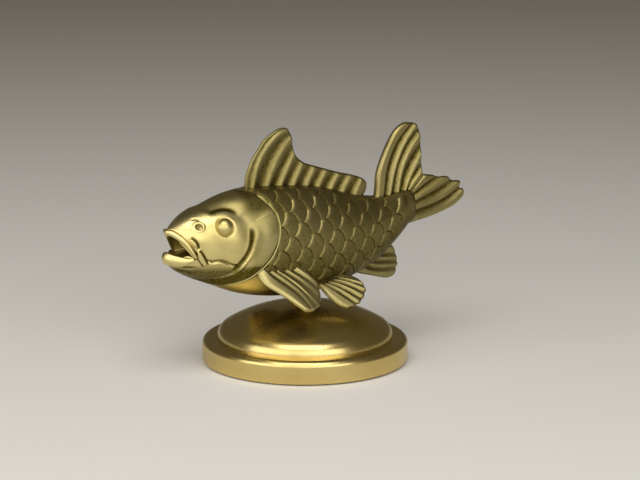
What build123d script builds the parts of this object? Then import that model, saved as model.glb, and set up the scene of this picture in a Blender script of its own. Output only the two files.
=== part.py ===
"""Fish figurine: a hollow cast fish with separately cast fins and eyes, standing on a short
post on a domed round base. The fish looks along -X, its back is up, its left side faces -Y.
The origin is the centre of the base's underside. Lengths are in millimetres."""

from build123d import *
from math import cos, sin, radians, copysign
import os

os.makedirs("parts", exist_ok=True)

# Base: felt pad, plinth disc and hollow dome.
base_diameter = 80.0
base_height = 9.4
base_top_round = 2.4
base_bottom_round = 1.2
base_wall = 5.0
base_web = 3.4
felt_thickness = 1.2
felt_proud = 0.4
felt_clearance = 0.3
felt_inset = 3.0
dome_ledge = 5.8
dome_rise = 13.6
dome_knuckle = 6.0
dome_wall = 2.6
dome_spigot_height = 1.4
spigot_clearance = 0.15
boss_diameter = 11.0

# Post and the fastening that clamps base, post and fish together.
post_foot_diameter = 12.4
post_waist_diameter = 9.0
post_head_diameter = 10.4
post_sink = 0.5
stud_diameter = 4.0
stud_clearance = 0.15
stud_grip = 9.0
nut_flats = 7.0
nut_height = 3.2
washer_diameter = 12.0
washer_thickness = 0.9
seat_gap = 0.1
pin_diameter = 1.6
pin_clearance = 0.05
pin_offset = 3.5
pin_grip = 2.0

# Body of the fish.
body_length = 112.0
body_height = 43.6
body_width = 27.0
body_wall = 3.4
belly_lift = 27.0
nose_ahead_share = 0.549
section_power = 2.35
section_points = 16
cavity_start_share = 0.20
cavity_end_share = 0.88
belly_boss_diameter = 10.0
belly_boss_reach = 13.0

# One row for each cross-section: place along the body, top, bottom, half width.
station_shares = [
    (0.000, 0.672, 0.452, 0.10),
    (0.010, 0.705, 0.408, 0.20),
    (0.031, 0.760, 0.358, 0.39),
    (0.076, 0.833, 0.289, 0.665),
    (0.138, 0.897, 0.220, 0.825),
    (0.228, 0.968, 0.122, 0.93),
    (0.335, 1.000, 0.044, 0.993),
    (0.460, 0.984, 0.005, 1.00),
    (0.585, 0.945, 0.009, 0.93),
    (0.692, 0.869, 0.067, 0.803),
    (0.790, 0.800, 0.149, 0.648),
    (0.871, 0.778, 0.266, 0.507),
    (0.933, 0.807, 0.390, 0.401),
    (0.978, 0.817, 0.505, 0.317),
    (1.000, 0.771, 0.573, 0.197),
]

# Head: mouth, lips, throat, eyes and nostrils, placed by shares along and up the body.
mouth_corner_shares = (0.055, 0.486)
lip_inset = 0.3
lip_middle_share = 0.5
upper_lip_shares = (0.015, 0.683)
lower_lip_shares = (0.003, 0.482)
lip_radius = 1.6
throat_shares = (0.048, 0.560)
throat_radius = 4.4
eye_shares = (0.172, 0.731)
eye_radius = 3.4
eye_sink = 0.8
eye_clearance = 0.06
eye_ring_radius = 4.7
eye_ring_round = 1.4
eye_tilt = 18.0
eye_shank_radius = 1.2
eye_shank_length = 5.6
nostril_shares = (0.088, 0.747)
nostril_radius = 1.0

# Top, rearmost, lowest and foremost points of the gill cover.
gill_rim_shares = [(0.341, 0.90), (0.370, 0.626), (0.217, 0.20), (0.262, 0.50)]
gill_plate_raise = 0.7

# Fins: webs with raised rays, a thick leading ray, and pegs that run on from two of the rays.
web_thickness = 1.7
ray_radius = 1.2
scallop_share = 0.12
peg_radius = 1.0
peg_clearance = 0.08
peg_depth = 2.4
peg_reach = 8.0
floor_start_share = 0.05
floor_end_share = 0.94

# Rays on the back or belly: the places of root and tip along the fin and how far the tip stands
# off the body, as shares of the fin's length and height, then the bow as a share of the ray.
dorsal_length = 55.0
dorsal_height = 22.0
dorsal_seat_share = 0.309
dorsal_root_sink = 4.2
dorsal_lead_radius = 1.8
dorsal_ray_shares = [
    (0.030, 0.320, 0.930, 0.165),
    (0.150, 0.352, 0.740, 0.10),
    (0.265, 0.395, 0.530, 0.08),
    (0.370, 0.470, 0.355, 0.07),
    (0.480, 0.565, 0.265, 0.06),
    (0.580, 0.665, 0.255, 0.05),
    (0.680, 0.770, 0.250, 0.05),
    (0.780, 0.878, 0.260, 0.05),
    (0.880, 0.968, 0.230, 0.05),
]
dorsal_pegs = (1, 6)

anal_length = 21.0
anal_height = 12.0
anal_seat_share = 0.754
anal_root_sink = 3.2
anal_lead_radius = 1.2
anal_ray_shares = [
    (0.05, 0.74, 0.935, -0.05),
    (0.19, 0.87, 0.980, -0.04),
    (0.33, 0.92, 0.860, -0.03),
    (0.48, 0.92, 0.650, -0.02),
    (0.62, 0.88, 0.365, -0.01),
]
anal_pegs = (1, 3)

# Rays of the other fins: root and tip along and up the fin's own plane, as shares of its length
# and height, then the bow. Where it is positive, it is to the left of the way from root to tip.
tail_length = 31.0
tail_height = 34.0
tail_seat_behind = 4.5
tail_lead_radius = 1.7
tail_ray_shares = [
    (-0.335, 0.10, 0.080, 0.94, 0.15),
    (-0.230, 0.11, 0.180, 0.94, 0.11),
    (-0.120, 0.15, 0.225, 0.79, 0.07),
    (-0.050, 0.18, 0.250, 0.59, 0.05),
    (0.000, 0.18, 0.265, 0.41, 0.03),
    (0.020, 0.16, 0.420, 0.33, -0.02),
    (0.030, 0.08, 0.670, 0.28, -0.05),
    (0.040, -0.01, 0.870, 0.23, -0.08),
    (0.040, -0.09, 0.935, 0.11, -0.10),
]
tail_pegs = (1, 7)

pectoral_length = 20.0
pectoral_height = 20.0
pectoral_seat_shares = (0.320, 0.326)
pectoral_seat_sink = 1.5
pectoral_splay = 40.4
pectoral_lead_radius = 1.9
pectoral_ray_shares = [
    (-0.10, 0.18, 0.620, -0.95, -0.04),
    (0.08, 0.18, 0.780, -0.92, 0.03),
    (0.25, 0.18, 0.880, -0.80, 0.03),
    (0.42, 0.16, 0.940, -0.66, 0.03),
    (0.57, 0.14, 0.960, -0.52, 0.02),
    (0.70, 0.10, 0.960, -0.40, 0.02),
]
pectoral_pegs = (1, 4)

pelvic_length = 17.5
pelvic_height = 15.0
pelvic_seat_shares = (0.567, 0.057)
pelvic_seat_sink = 0.25
pelvic_splay = 45.6
pelvic_turn = -8.0
pelvic_lead_radius = 1.4
pelvic_ray_shares = [
    (-0.06, 0.14, 0.400, -0.61, -0.03),
    (0.00, 0.24, 0.620, -0.57, 0.02),
    (0.06, 0.31, 0.790, -0.46, 0.03),
    (0.12, 0.36, 0.900, -0.27, 0.03),
    (0.18, 0.40, 0.890, -0.04, 0.03),
    (0.24, 0.42, 0.780, 0.14, 0.03),
]
pelvic_pegs = (1, 3)

# How far a cutting shape runs past what it cuts.
overrun = 4.0

nose_x = -body_length * nose_ahead_share
tail_x = nose_x + body_length
dome_top = base_height + dome_rise
dome_radius = base_diameter / 2 - dome_ledge
dome_crown_radius = (
    (dome_radius - dome_knuckle) ** 2 + dome_rise**2 - dome_knuckle**2
) / (2 * (dome_rise - dome_knuckle))
base_radius = base_diameter / 2
felt_radius = base_radius - felt_inset
spigot_inner_radius = dome_radius - dome_wall
spigot_radius = dome_radius - dome_wall / 2
groove_floor = base_height - dome_spigot_height
web_underside = base_height - base_web
washer_underside = web_underside - washer_thickness
nut_underside = washer_underside - nut_height
post_foot = dome_top - post_sink
stud_hole_radius = stud_diameter / 2 + stud_clearance
stud_top = belly_lift + stud_grip


def station_at(along):
    """Top, bottom and half width of the body in shares, at a distance along from the nose."""
    share = min(max(along / body_length, 0), 1)
    for one, two in zip(station_shares, station_shares[1:]):
        if one[0] <= share <= two[0]:
            part = (share - one[0]) / (two[0] - one[0])
            return [a + part * (b - a) for a, b in zip(one[1:], two[1:])]


def body_top(along):
    """Height of the back above the base's underside."""
    return belly_lift + body_height * station_at(along)[0]


def body_bottom(along):
    """Height of the belly above the base's underside."""
    return belly_lift + body_height * station_at(along)[1]


def body_side(along, height):
    """Half width of the body at a height above the base's underside."""
    top, bottom = body_top(along), body_bottom(along)
    lean = min(1.0, abs(2 * height - top - bottom) / (top - bottom))
    half = body_width / 2 * station_at(along)[2]
    return half * (1 - lean**section_power) ** (1 / section_power)


def outline_points(half_wide, low, high):
    """Points round one cross-section, fuller than an ellipse."""
    points = []
    for n in range(section_points):
        angle = radians(360 * n / section_points)
        across = copysign(abs(cos(angle)) ** (2 / section_power), cos(angle))
        up = copysign(abs(sin(angle)) ** (2 / section_power), sin(angle))
        points.append((half_wide * across, (low + high) / 2 + (high - low) / 2 * up))
    return points


def fish_form(grow, first_share=0.0, last_share=1.0):
    """The body's smooth form, grown outward by a distance, or shrunk where it is negative."""
    with BuildPart() as form:
        for share, top, bottom, half in station_shares:
            if first_share <= share <= last_share:
                end_grow = grow if share == 1 else -grow if share == 0 else 0
                points = outline_points(
                    body_width / 2 * half + grow,
                    belly_lift + body_height * bottom - grow,
                    belly_lift + body_height * top + grow,
                )
                with BuildSketch(Plane.YZ.offset(nose_x + body_length * share + end_grow)):
                    with BuildLine():
                        Spline(*points, periodic=True)
                    make_face()
        loft()
    return form.part


def gill_plates(grow, margin=0):
    """Both gill covers: the form grown by a distance, kept between two arcs seen from the side."""
    top, rear, low, cheek = [(x, z) for x, y, z in map(head_point, gill_rim_shares)]
    with BuildPart() as plates:
        with BuildSketch(Plane.XZ):
            with BuildLine():
                ThreePointArc(top, rear, low)
                ThreePointArc(low, cheek, top)
            make_face()
            if margin:
                offset(amount=margin)
        extrude(amount=body_width, both=True)
        add(fish_form(grow), mode=Mode.INTERSECT)
    return plates.part


def head_point(shares, aside=0):
    """A point of the head, from its shares along and up the body and its distance to the side."""
    return (nose_x + body_length * shares[0], aside, belly_lift + body_height * shares[1])


def surface_aside(shares):
    """How far the body's side lies from the middle, at shares along and up the body."""
    return body_side(body_length * shares[0], belly_lift + body_height * shares[1])


def lip_points(front_shares):
    """Points along one lip, from the left corner of the mouth round its front to the right one."""
    side_shares = [
        corner + lip_middle_share * (front - corner)
        for corner, front in zip(mouth_corner_shares, front_shares)
    ]
    left, right = [
        [head_point(shares, side * (surface_aside(shares) - lip_inset))
         for shares in (mouth_corner_shares, side_shares)]
        for side in (-1, 1)
    ]
    return [*left, head_point(front_shares), *reversed(right)]


def bowed_ray(root, tip, bow):
    """Root, middle and tip of a ray, its middle moved to the left of the way from root to tip."""
    across = (root[0] + tip[0]) / 2 - bow * (tip[1] - root[1])
    up = (root[1] + tip[1]) / 2 + bow * (tip[0] - root[0])
    return root, (across, up), tip


def plane_rays(length, height, ray_shares):
    """Rays given in the fin's own plane."""
    return [
        bowed_ray((root_u * length, root_v * height), (tip_u * length, tip_v * height), bow)
        for root_u, root_v, tip_u, tip_v, bow in ray_shares
    ]


def edge_rays(edge, seat, length, height, root_sink, ray_shares):
    """Rays that stand off the back or the belly: edge gives its height at a distance along."""
    rays = []
    for root_u, tip_u, rise, bow in ray_shares:
        root_up = edge(seat + root_u * length) - root_sink - edge(seat)
        tip_up = edge(seat + tip_u * length) + rise * height - edge(seat)
        rays.append(bowed_ray((root_u * length, root_up), (tip_u * length, tip_up), bow))
    return rays


def scallop_middle(one, two):
    """Where the edge between two rays' tips is drawn in, towards their roots."""
    middle = (Vector(one[2]) + Vector(two[2])) / 2
    inward = (Vector(one[0]) + Vector(two[0])) / 2 - middle
    sag = scallop_share * (Vector(two[2]) - Vector(one[2])).length
    return middle + inward.normalized() * sag


def ray_tube(plane, ray, radius):
    """One round ray along its arc, with a round tip."""
    with BuildPart() as tube:
        with BuildLine(plane) as line:
            ThreePointArc(*ray)
        with BuildSketch(Plane(origin=line.line @ 0, z_dir=line.line % 0)):
            Circle(radius)
        sweep(path=line.line)
        with Locations(line.line @ 1):
            Sphere(radius)
    return tube.part


def fin_blade(plane, points, lead_radius, trim):
    """A fin's web and rays on its plane, cut off where it meets the body."""
    with BuildPart() as blade:
        with BuildSketch(plane):
            with BuildLine():
                ThreePointArc(*points[0])
                for one, two in zip(points, points[1:]):
                    ThreePointArc(one[2], scallop_middle(one, two), two[2])
                ThreePointArc(*reversed(points[-1]))
                Line(points[-1][0], points[0][0])
            make_face()
        extrude(amount=web_thickness / 2, both=True)
        add(ray_tube(plane, points[0], lead_radius))
        for ray in points[1:]:
            add(ray_tube(plane, ray, ray_radius))
        add(trim, mode=Mode.SUBTRACT)
    return blade.part


def fin_pegs(plane, points, chosen, floor, clearance=0):
    """Pegs, or with a clearance their holes, that run straight on from the chosen rays."""
    with BuildPart() as pegs:
        for number in chosen:
            with BuildLine(plane) as line:
                ThreePointArc(*points[number])
            with BuildSketch(Plane(origin=line.line @ 0, z_dir=line.line % 0)):
                Circle(peg_radius + clearance)
            extrude(amount=peg_reach)
        add(floor, mode=Mode.SUBTRACT)
    return pegs.part


def dome_profile(inset):
    """Half section of the dome's solid, set in from its outside by a distance."""
    reach_share = (dome_crown_radius - inset) / (dome_crown_radius - dome_knuckle)
    centre_height = dome_top - dome_crown_radius
    crown = (0, dome_top - inset)
    meet = (
        (dome_radius - dome_knuckle) * reach_share,
        centre_height + (base_height - centre_height) * reach_share,
    )
    foot = (dome_radius - inset, base_height)
    with BuildSketch(Plane.XZ) as profile:
        with BuildLine():
            crown_arc = TangentArc(crown, meet, tangent=(1, 0))
            TangentArc(meet, foot, tangent=crown_arc % 1)
            Polyline(foot, (0, base_height), crown)
        make_face()
    return profile.sketch


def eye_plane(side):
    """Plane across the eye on one side, facing out and a little up."""
    return Plane(
        origin=head_point(eye_shares, side * (surface_aside(eye_shares) - eye_sink)),
        z_dir=(0, side * cos(radians(eye_tilt)), sin(radians(eye_tilt))),
    )


smooth_form = fish_form(0)
grown_form = fish_form(seat_gap)
peg_floor = fish_form(-peg_depth, floor_start_share, floor_end_share)
hole_floor = fish_form(-peg_depth - peg_clearance, floor_start_share, floor_end_share)

dorsal_seat = body_length * dorsal_seat_share
anal_seat = body_length * anal_seat_share
tail_seat = body_length - tail_seat_behind
tail_seat_height = (body_top(tail_seat) + body_bottom(tail_seat)) / 2
dorsal_plane = Plane(
    origin=(nose_x + dorsal_seat, 0, body_top(dorsal_seat)), x_dir=(1, 0, 0), z_dir=(0, -1, 0)
)
anal_plane = Plane(
    origin=(nose_x + anal_seat, 0, body_bottom(anal_seat)), x_dir=(1, 0, 0), z_dir=(0, -1, 0)
)
tail_plane = Plane(
    origin=(nose_x + tail_seat, 0, tail_seat_height), x_dir=(1, 0, 0), z_dir=(0, -1, 0)
)
pectoral_plane = Plane(
    origin=head_point(
        pectoral_seat_shares, pectoral_seat_sink - surface_aside(pectoral_seat_shares)
    ),
    x_dir=(1, 0, 0),
    z_dir=(0, -cos(radians(pectoral_splay)), sin(radians(pectoral_splay))),
)
pelvic_plane = Plane(
    origin=head_point(pelvic_seat_shares, pelvic_seat_sink - surface_aside(pelvic_seat_shares)),
    x_dir=(cos(radians(pelvic_turn)), sin(radians(pelvic_turn)), -sin(radians(pelvic_turn))),
    z_dir=(0, -cos(radians(pelvic_splay)), sin(radians(pelvic_splay))),
)

dorsal_rays = edge_rays(
    body_top, dorsal_seat, dorsal_length, dorsal_height, dorsal_root_sink, dorsal_ray_shares
)
anal_rays = edge_rays(
    body_bottom, anal_seat, anal_length, -anal_height, -anal_root_sink, anal_ray_shares
)
tail_rays = plane_rays(tail_length, tail_height, tail_ray_shares)
pectoral_rays = plane_rays(pectoral_length, pectoral_height, pectoral_ray_shares)
pelvic_rays = plane_rays(pelvic_length, pelvic_height, pelvic_ray_shares)

# Felt pad, let into a rebate under the disc.
with BuildPart() as felt_pad:
    with BuildSketch():
        Circle(felt_radius)
    extrude(amount=felt_thickness)
felt_pad.part.label = "felt_pad"
export_step(felt_pad.part, "parts/felt_pad.step")

# Plinth disc, hollow below, with a groove for the dome's spigot.
with BuildPart() as base_disc:
    with BuildSketch(Plane.XZ):
        with BuildLine():
            Polyline(
                (stud_hole_radius, web_underside),
                (base_radius - base_wall, web_underside),
                (base_radius - base_wall, felt_thickness),
                (felt_radius + felt_clearance, felt_thickness),
                (felt_radius + felt_clearance, felt_proud),
                (base_radius, felt_proud),
                (base_radius, base_height),
                (spigot_radius + spigot_clearance, base_height),
                (spigot_radius + spigot_clearance, groove_floor),
                (spigot_inner_radius - spigot_clearance, groove_floor),
                (spigot_inner_radius - spigot_clearance, base_height),
                (stud_hole_radius, base_height),
                close=True,
            )
        make_face()
    revolve(axis=Axis.Z)
    fillet(base_disc.edges().group_by(Axis.Z)[-1].sort_by(SortBy.RADIUS)[-1], base_top_round)
    fillet(base_disc.edges().group_by(Axis.Z)[0].sort_by(SortBy.RADIUS)[-1], base_bottom_round)
base_disc.part.label = "base_disc"
export_step(base_disc.part, "parts/base_disc.step")

# Hollow dome with a boss down the middle and a seat for the post.
with BuildPart() as base_dome:
    revolve(dome_profile(0), axis=Axis.Z)
    revolve(dome_profile(dome_wall), axis=Axis.Z, mode=Mode.SUBTRACT)
    with BuildSketch(Plane.XY.offset(base_height)):
        Circle(boss_diameter / 2)
    extrude(amount=dome_rise - dome_wall / 2)
    with BuildSketch(Plane.XY.offset(groove_floor + spigot_clearance)):
        Circle(spigot_radius)
        Circle(spigot_inner_radius, mode=Mode.SUBTRACT)
    extrude(amount=dome_spigot_height)
    with BuildSketch(Plane.XY.offset(post_foot)):
        Circle(post_foot_diameter / 2 + spigot_clearance)
    extrude(amount=overrun, mode=Mode.SUBTRACT)
    with BuildSketch(Plane.XY.offset(base_height)):
        Circle(stud_hole_radius)
    extrude(amount=dome_rise + overrun, mode=Mode.SUBTRACT)
base_dome.part.label = "base_dome"
export_step(base_dome.part, "parts/base_dome.step")

# Waisted post, its top cut to the curve of the belly.
with BuildPart() as pin_hole:
    with BuildSketch(Plane.XY.offset(belly_lift - pin_grip - pin_clearance)):
        with Locations((pin_offset, 0)):
            Circle(pin_diameter / 2 + pin_clearance)
    extrude(amount=2 * (pin_grip + pin_clearance))

with BuildPart() as support_post:
    with BuildSketch(Plane.XZ):
        with BuildLine():
            foot = (post_foot_diameter / 2, post_foot)
            step = (post_foot_diameter / 2, dome_top + post_sink)
            head = (post_head_diameter / 2, belly_lift + overrun)
            waist = (post_waist_diameter / 2, (step[1] + belly_lift) / 2)
            Line(foot, step)
            ThreePointArc(step, waist, head)
            Polyline(head, (stud_hole_radius, head[1]), (stud_hole_radius, foot[1]), foot)
        make_face()
    revolve(axis=Axis.Z)
    add(grown_form, mode=Mode.SUBTRACT)
    add(pin_hole.part, mode=Mode.SUBTRACT)
support_post.part.label = "support_post"
export_step(support_post.part, "parts/support_post.step")

# Pin that stops the fish from turning on its post.
with BuildPart() as locating_pin:
    with BuildSketch(Plane.XY.offset(belly_lift - pin_grip)):
        with Locations((pin_offset, 0)):
            Circle(pin_diameter / 2)
    extrude(amount=2 * pin_grip)
locating_pin.part.label = "locating_pin"
export_step(locating_pin.part, "parts/locating_pin.step")

# Stud, washer and nut that clamp the disc, the dome, the post and the fish together.
with BuildPart() as mounting_stud:
    with BuildSketch(Plane.XY.offset(nut_underside)):
        Circle(stud_diameter / 2)
    extrude(amount=stud_top - nut_underside)
mounting_stud.part.label = "mounting_stud"
export_step(mounting_stud.part, "parts/mounting_stud.step")

with BuildPart() as stud_washer:
    with BuildSketch(Plane.XY.offset(washer_underside)):
        Circle(washer_diameter / 2)
        Circle(stud_hole_radius, mode=Mode.SUBTRACT)
    extrude(amount=washer_thickness)
stud_washer.part.label = "stud_washer"
export_step(stud_washer.part, "parts/stud_washer.step")

with BuildPart() as stud_nut:
    with BuildSketch(Plane.XY.offset(nut_underside)):
        RegularPolygon(radius=nut_flats / 2, side_count=6, major_radius=False)
        Circle(stud_hole_radius, mode=Mode.SUBTRACT)
    extrude(amount=nut_height)
stud_nut.part.label = "stud_nut"
export_step(stud_nut.part, "parts/stud_nut.step")

# Fins, each cast apart from the body and pegged into it.
with BuildPart() as dorsal_fin:
    add(fin_blade(dorsal_plane, dorsal_rays, dorsal_lead_radius, [grown_form]))
    add(fin_pegs(dorsal_plane, dorsal_rays, dorsal_pegs, peg_floor))
dorsal_fin.part.label = "dorsal_fin"
export_step(dorsal_fin.part, "parts/dorsal_fin.step")

with BuildPart() as tail_fin:
    add(fin_blade(tail_plane, tail_rays, tail_lead_radius, [grown_form]))
    add(fin_pegs(tail_plane, tail_rays, tail_pegs, peg_floor))
tail_fin.part.label = "tail_fin"
export_step(tail_fin.part, "parts/tail_fin.step")

with BuildPart() as anal_fin:
    add(fin_blade(anal_plane, anal_rays, anal_lead_radius, [grown_form]))
    add(fin_pegs(anal_plane, anal_rays, anal_pegs, peg_floor))
anal_fin.part.label = "anal_fin"
export_step(anal_fin.part, "parts/anal_fin.step")

grown_plates = gill_plates(gill_plate_raise + seat_gap, margin=seat_gap)
with BuildPart() as left_pectoral_fin:
    add(fin_blade(pectoral_plane, pectoral_rays, pectoral_lead_radius, [grown_form, grown_plates]))
    add(fin_pegs(pectoral_plane, pectoral_rays, pectoral_pegs, peg_floor))
left_pectoral_fin.part.label = "left_pectoral_fin"
export_step(left_pectoral_fin.part, "parts/left_pectoral_fin.step")

with BuildPart() as right_pectoral_fin:
    mirror(left_pectoral_fin.part, about=Plane.XZ)
right_pectoral_fin.part.label = "right_pectoral_fin"
export_step(right_pectoral_fin.part, "parts/right_pectoral_fin.step")

with BuildPart() as left_pelvic_fin:
    add(fin_blade(pelvic_plane, pelvic_rays, pelvic_lead_radius, [grown_form]))
    add(fin_pegs(pelvic_plane, pelvic_rays, pelvic_pegs, peg_floor))
left_pelvic_fin.part.label = "left_pelvic_fin"
export_step(left_pelvic_fin.part, "parts/left_pelvic_fin.step")

with BuildPart() as right_pelvic_fin:
    mirror(left_pelvic_fin.part, about=Plane.XZ)
right_pelvic_fin.part.label = "right_pelvic_fin"
export_step(right_pelvic_fin.part, "parts/right_pelvic_fin.step")

# Eyes, polished beads on shanks.
with BuildPart() as left_eye:
    with Locations(eye_plane(-1)):
        Sphere(eye_radius)
        Cylinder(eye_shank_radius, eye_shank_length, align=(Align.CENTER, Align.CENTER, Align.MAX))
left_eye.part.label = "left_eye"
export_step(left_eye.part, "parts/left_eye.step")

with BuildPart() as right_eye:
    mirror(left_eye.part, about=Plane.XZ)
right_eye.part.label = "right_eye"
export_step(right_eye.part, "parts/right_eye.step")

# Body: one hollow casting with its gill covers, lips, eye rings and the sockets for the fins.
mouth_corner = head_point(mouth_corner_shares)
upper_lip = head_point(upper_lip_shares)
lower_lip = head_point(lower_lip_shares)

# What is hollowed out of the body: its cavity round a boss for the stud, and the sockets.
with BuildPart() as cavity:
    add(fish_form(-body_wall, cavity_start_share, cavity_end_share))
    with BuildSketch(Plane.XY.offset(belly_lift)):
        Circle(belly_boss_diameter / 2)
    extrude(amount=belly_boss_reach, mode=Mode.SUBTRACT)

with BuildPart() as stud_bore:
    with BuildSketch(Plane.XY.offset(belly_lift - overrun)):
        Circle(stud_hole_radius)
    extrude(amount=overrun + stud_grip + stud_clearance)

with BuildPart() as head_sockets:
    with Locations(eye_plane(-1), eye_plane(1)):
        Sphere(eye_radius + eye_clearance)
        Cylinder(
            eye_shank_radius + eye_clearance,
            eye_shank_length + eye_clearance,
            align=(Align.CENTER, Align.CENTER, Align.MAX),
        )
    nostril_aside = surface_aside(nostril_shares)
    with Locations(
        head_point(nostril_shares, -nostril_aside), head_point(nostril_shares, nostril_aside)
    ):
        Sphere(nostril_radius)

fin_sockets = [
    fin_pegs(dorsal_plane, dorsal_rays, dorsal_pegs, hole_floor, peg_clearance),
    fin_pegs(tail_plane, tail_rays, tail_pegs, hole_floor, peg_clearance),
    fin_pegs(anal_plane, anal_rays, anal_pegs, hole_floor, peg_clearance),
]
for plane, rays, chosen in (
    (pectoral_plane, pectoral_rays, pectoral_pegs),
    (pelvic_plane, pelvic_rays, pelvic_pegs),
):
    left_socket = fin_pegs(plane, rays, chosen, hole_floor, peg_clearance)
    fin_sockets += [left_socket, mirror(left_socket, about=Plane.XZ)]

with BuildPart() as fish_body:
    add(smooth_form)
    add(gill_plates(gill_plate_raise))
    with BuildSketch(Plane.XZ):
        with BuildLine():
            corner = Vector(mouth_corner[0], mouth_corner[2])
            upper = Vector(upper_lip[0], upper_lip[2])
            lower = Vector(lower_lip[0], lower_lip[2])
            Polyline(corner, 2 * upper - corner, 2 * lower - corner, close=True)
        make_face()
    extrude(amount=body_width, both=True, mode=Mode.SUBTRACT)
    with Locations(head_point(throat_shares)):
        Sphere(throat_radius, mode=Mode.SUBTRACT)
    for front_shares in (upper_lip_shares, lower_lip_shares):
        with BuildLine() as lip:
            Spline(*lip_points(front_shares))
        with BuildSketch(Plane(origin=lip.line @ 0, z_dir=lip.line % 0)):
            Circle(lip_radius)
        sweep(path=lip.line)
    with Locations(lip.line @ 0, lip.line @ 1):
        Sphere(lip_radius)
    with Locations(eye_plane(-1), eye_plane(1)):
        Torus(eye_ring_radius, eye_ring_round)
    add([cavity.part, stud_bore.part, pin_hole.part, head_sockets.part], mode=Mode.SUBTRACT)
    add(fin_sockets, mode=Mode.SUBTRACT)
fish_body.part.label = "fish_body"
export_step(fish_body.part, "parts/fish_body.step")
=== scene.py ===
import math
import bpy
import numpy as np
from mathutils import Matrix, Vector


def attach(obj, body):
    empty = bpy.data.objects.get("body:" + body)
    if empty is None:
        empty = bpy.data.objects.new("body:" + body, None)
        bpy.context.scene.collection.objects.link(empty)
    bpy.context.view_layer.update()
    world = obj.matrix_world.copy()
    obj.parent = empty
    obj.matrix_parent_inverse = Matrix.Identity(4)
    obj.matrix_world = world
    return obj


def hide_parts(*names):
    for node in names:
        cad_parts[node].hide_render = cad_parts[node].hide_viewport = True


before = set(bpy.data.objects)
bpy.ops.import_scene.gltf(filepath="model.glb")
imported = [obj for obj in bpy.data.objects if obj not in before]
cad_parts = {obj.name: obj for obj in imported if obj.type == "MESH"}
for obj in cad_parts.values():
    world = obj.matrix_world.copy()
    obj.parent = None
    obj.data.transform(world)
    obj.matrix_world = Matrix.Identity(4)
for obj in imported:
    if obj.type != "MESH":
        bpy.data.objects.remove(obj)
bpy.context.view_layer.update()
print("frame loaded")

mm = 0.001
finishes = {}   # the material of each CAD node


def smoothStep(low, high, value):
    part = np.clip((value - low) / (high - low), 0, 1)
    return part * part * (3 - 2 * part)


def unitWay(path):
    way = np.gradient(path, axis=0)
    return way / np.linalg.norm(way, axis=1, keepdims=True)


def smoothCurve(points, count, fineCount=600):
    # a natural cubic through the points, cut into even steps along its length
    knots = np.array(points, float)
    step = np.linalg.norm(np.diff(knots, axis=0), axis=1)
    start = np.concatenate([[0], np.cumsum(step)])
    last = len(knots) - 1
    system, pull = np.eye(last + 1), np.zeros_like(knots)
    for k in range(1, last):
        system[k, k - 1:k + 2] = step[k - 1], 2 * (step[k - 1] + step[k]), step[k]
        pull[k] = 6 * ((knots[k + 1] - knots[k]) / step[k] - (knots[k] - knots[k - 1]) / step[k - 1])
    bend = np.linalg.solve(system, pull)

    def at(place):
        k = np.clip(np.searchsorted(start, place, side="right") - 1, 0, last - 1)
        h = step[k][:, None]
        b = (place - start[k])[:, None] / h
        a = 1 - b
        cubic = (a ** 3 - a) * bend[k] + (b ** 3 - b) * bend[k + 1]
        return a * knots[k] + b * knots[k + 1] + h * h / 6 * cubic

    fine = np.linspace(0, start[-1], fineCount)
    walked = np.linalg.norm(np.diff(at(fine), axis=0), axis=1)
    walked = np.concatenate([[0], np.cumsum(walked)])
    return at(np.interp(np.linspace(0, walked[-1], count), walked, fine))


def gridPart(grid, hollow=0.0, loopColumns=False, flip=False):
    # one patch of a piece: corners, faces and a mask of dirt and painted shade in the hollows
    rows, columns = grid.shape[:2]
    index = np.arange(rows * columns).reshape(rows, columns)
    below, beside = np.roll(index, -1, 0), np.roll(index, -1, 1)
    faces = np.stack([index, below, np.roll(below, -1, 1), beside], -1)[:-1]
    if not loopColumns:
        faces = faces[:, :-1]
    faces = faces.reshape(-1, 4)
    return {
        "corners": grid.reshape(-1, 3),
        "faces": faces[:, ::-1] if flip else faces,
        "hollow": np.array(np.broadcast_to(hollow, (rows, columns)), float).reshape(-1),
    }


def mirrored(part):
    # the same patch on the fish's right side
    return {
        "corners": part["corners"] * np.array([1, -1, 1]),
        "faces": part["faces"][:, ::-1],
        "hollow": part["hollow"],
    }


def makePiece(name, parts, material, replaces=()):
    first = np.cumsum([0] + [len(part["corners"]) for part in parts])
    corners = np.concatenate([part["corners"] for part in parts]) * mm
    faces = np.concatenate([part["faces"] + start for part, start in zip(parts, first)])
    mesh = bpy.data.meshes.new(name)
    mesh.from_pydata(corners.tolist(), [], faces.tolist())
    mesh.validate()
    mesh.polygons.foreach_set("use_smooth", [True] * len(mesh.polygons))
    dirtAndShade = mesh.attributes.new("hollow", "FLOAT", "POINT")
    dirtAndShade.data.foreach_set("value", np.concatenate([part["hollow"] for part in parts]))
    mesh.materials.append(material)
    piece = bpy.data.objects.new(name, mesh)
    bpy.context.scene.collection.objects.link(piece)
    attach(piece, "root")
    if replaces:
        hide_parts(*replaces)
    finishes.update({node: material for node in replaces})


def lathePart(profile, segments):
    # profile is radius and height, from the bottom outwards and up to the middle of the top
    profile = np.array(profile, float)
    turn = np.linspace(0, 2 * math.pi, segments, endpoint=False)
    grid = np.stack([
        profile[:, :1] * np.cos(turn),
        profile[:, :1] * np.sin(turn),
        np.repeat(profile[:, 1:], segments, 1),
    ], -1)
    return gridPart(grid, loopColumns=True, flip=True)


def cornerArc(middle, radius, first, last, count=10):
    angle = np.radians(np.linspace(first, last, count))
    return [(middle[0] + radius * math.cos(a), middle[1] + radius * math.sin(a)) for a in angle]


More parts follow.
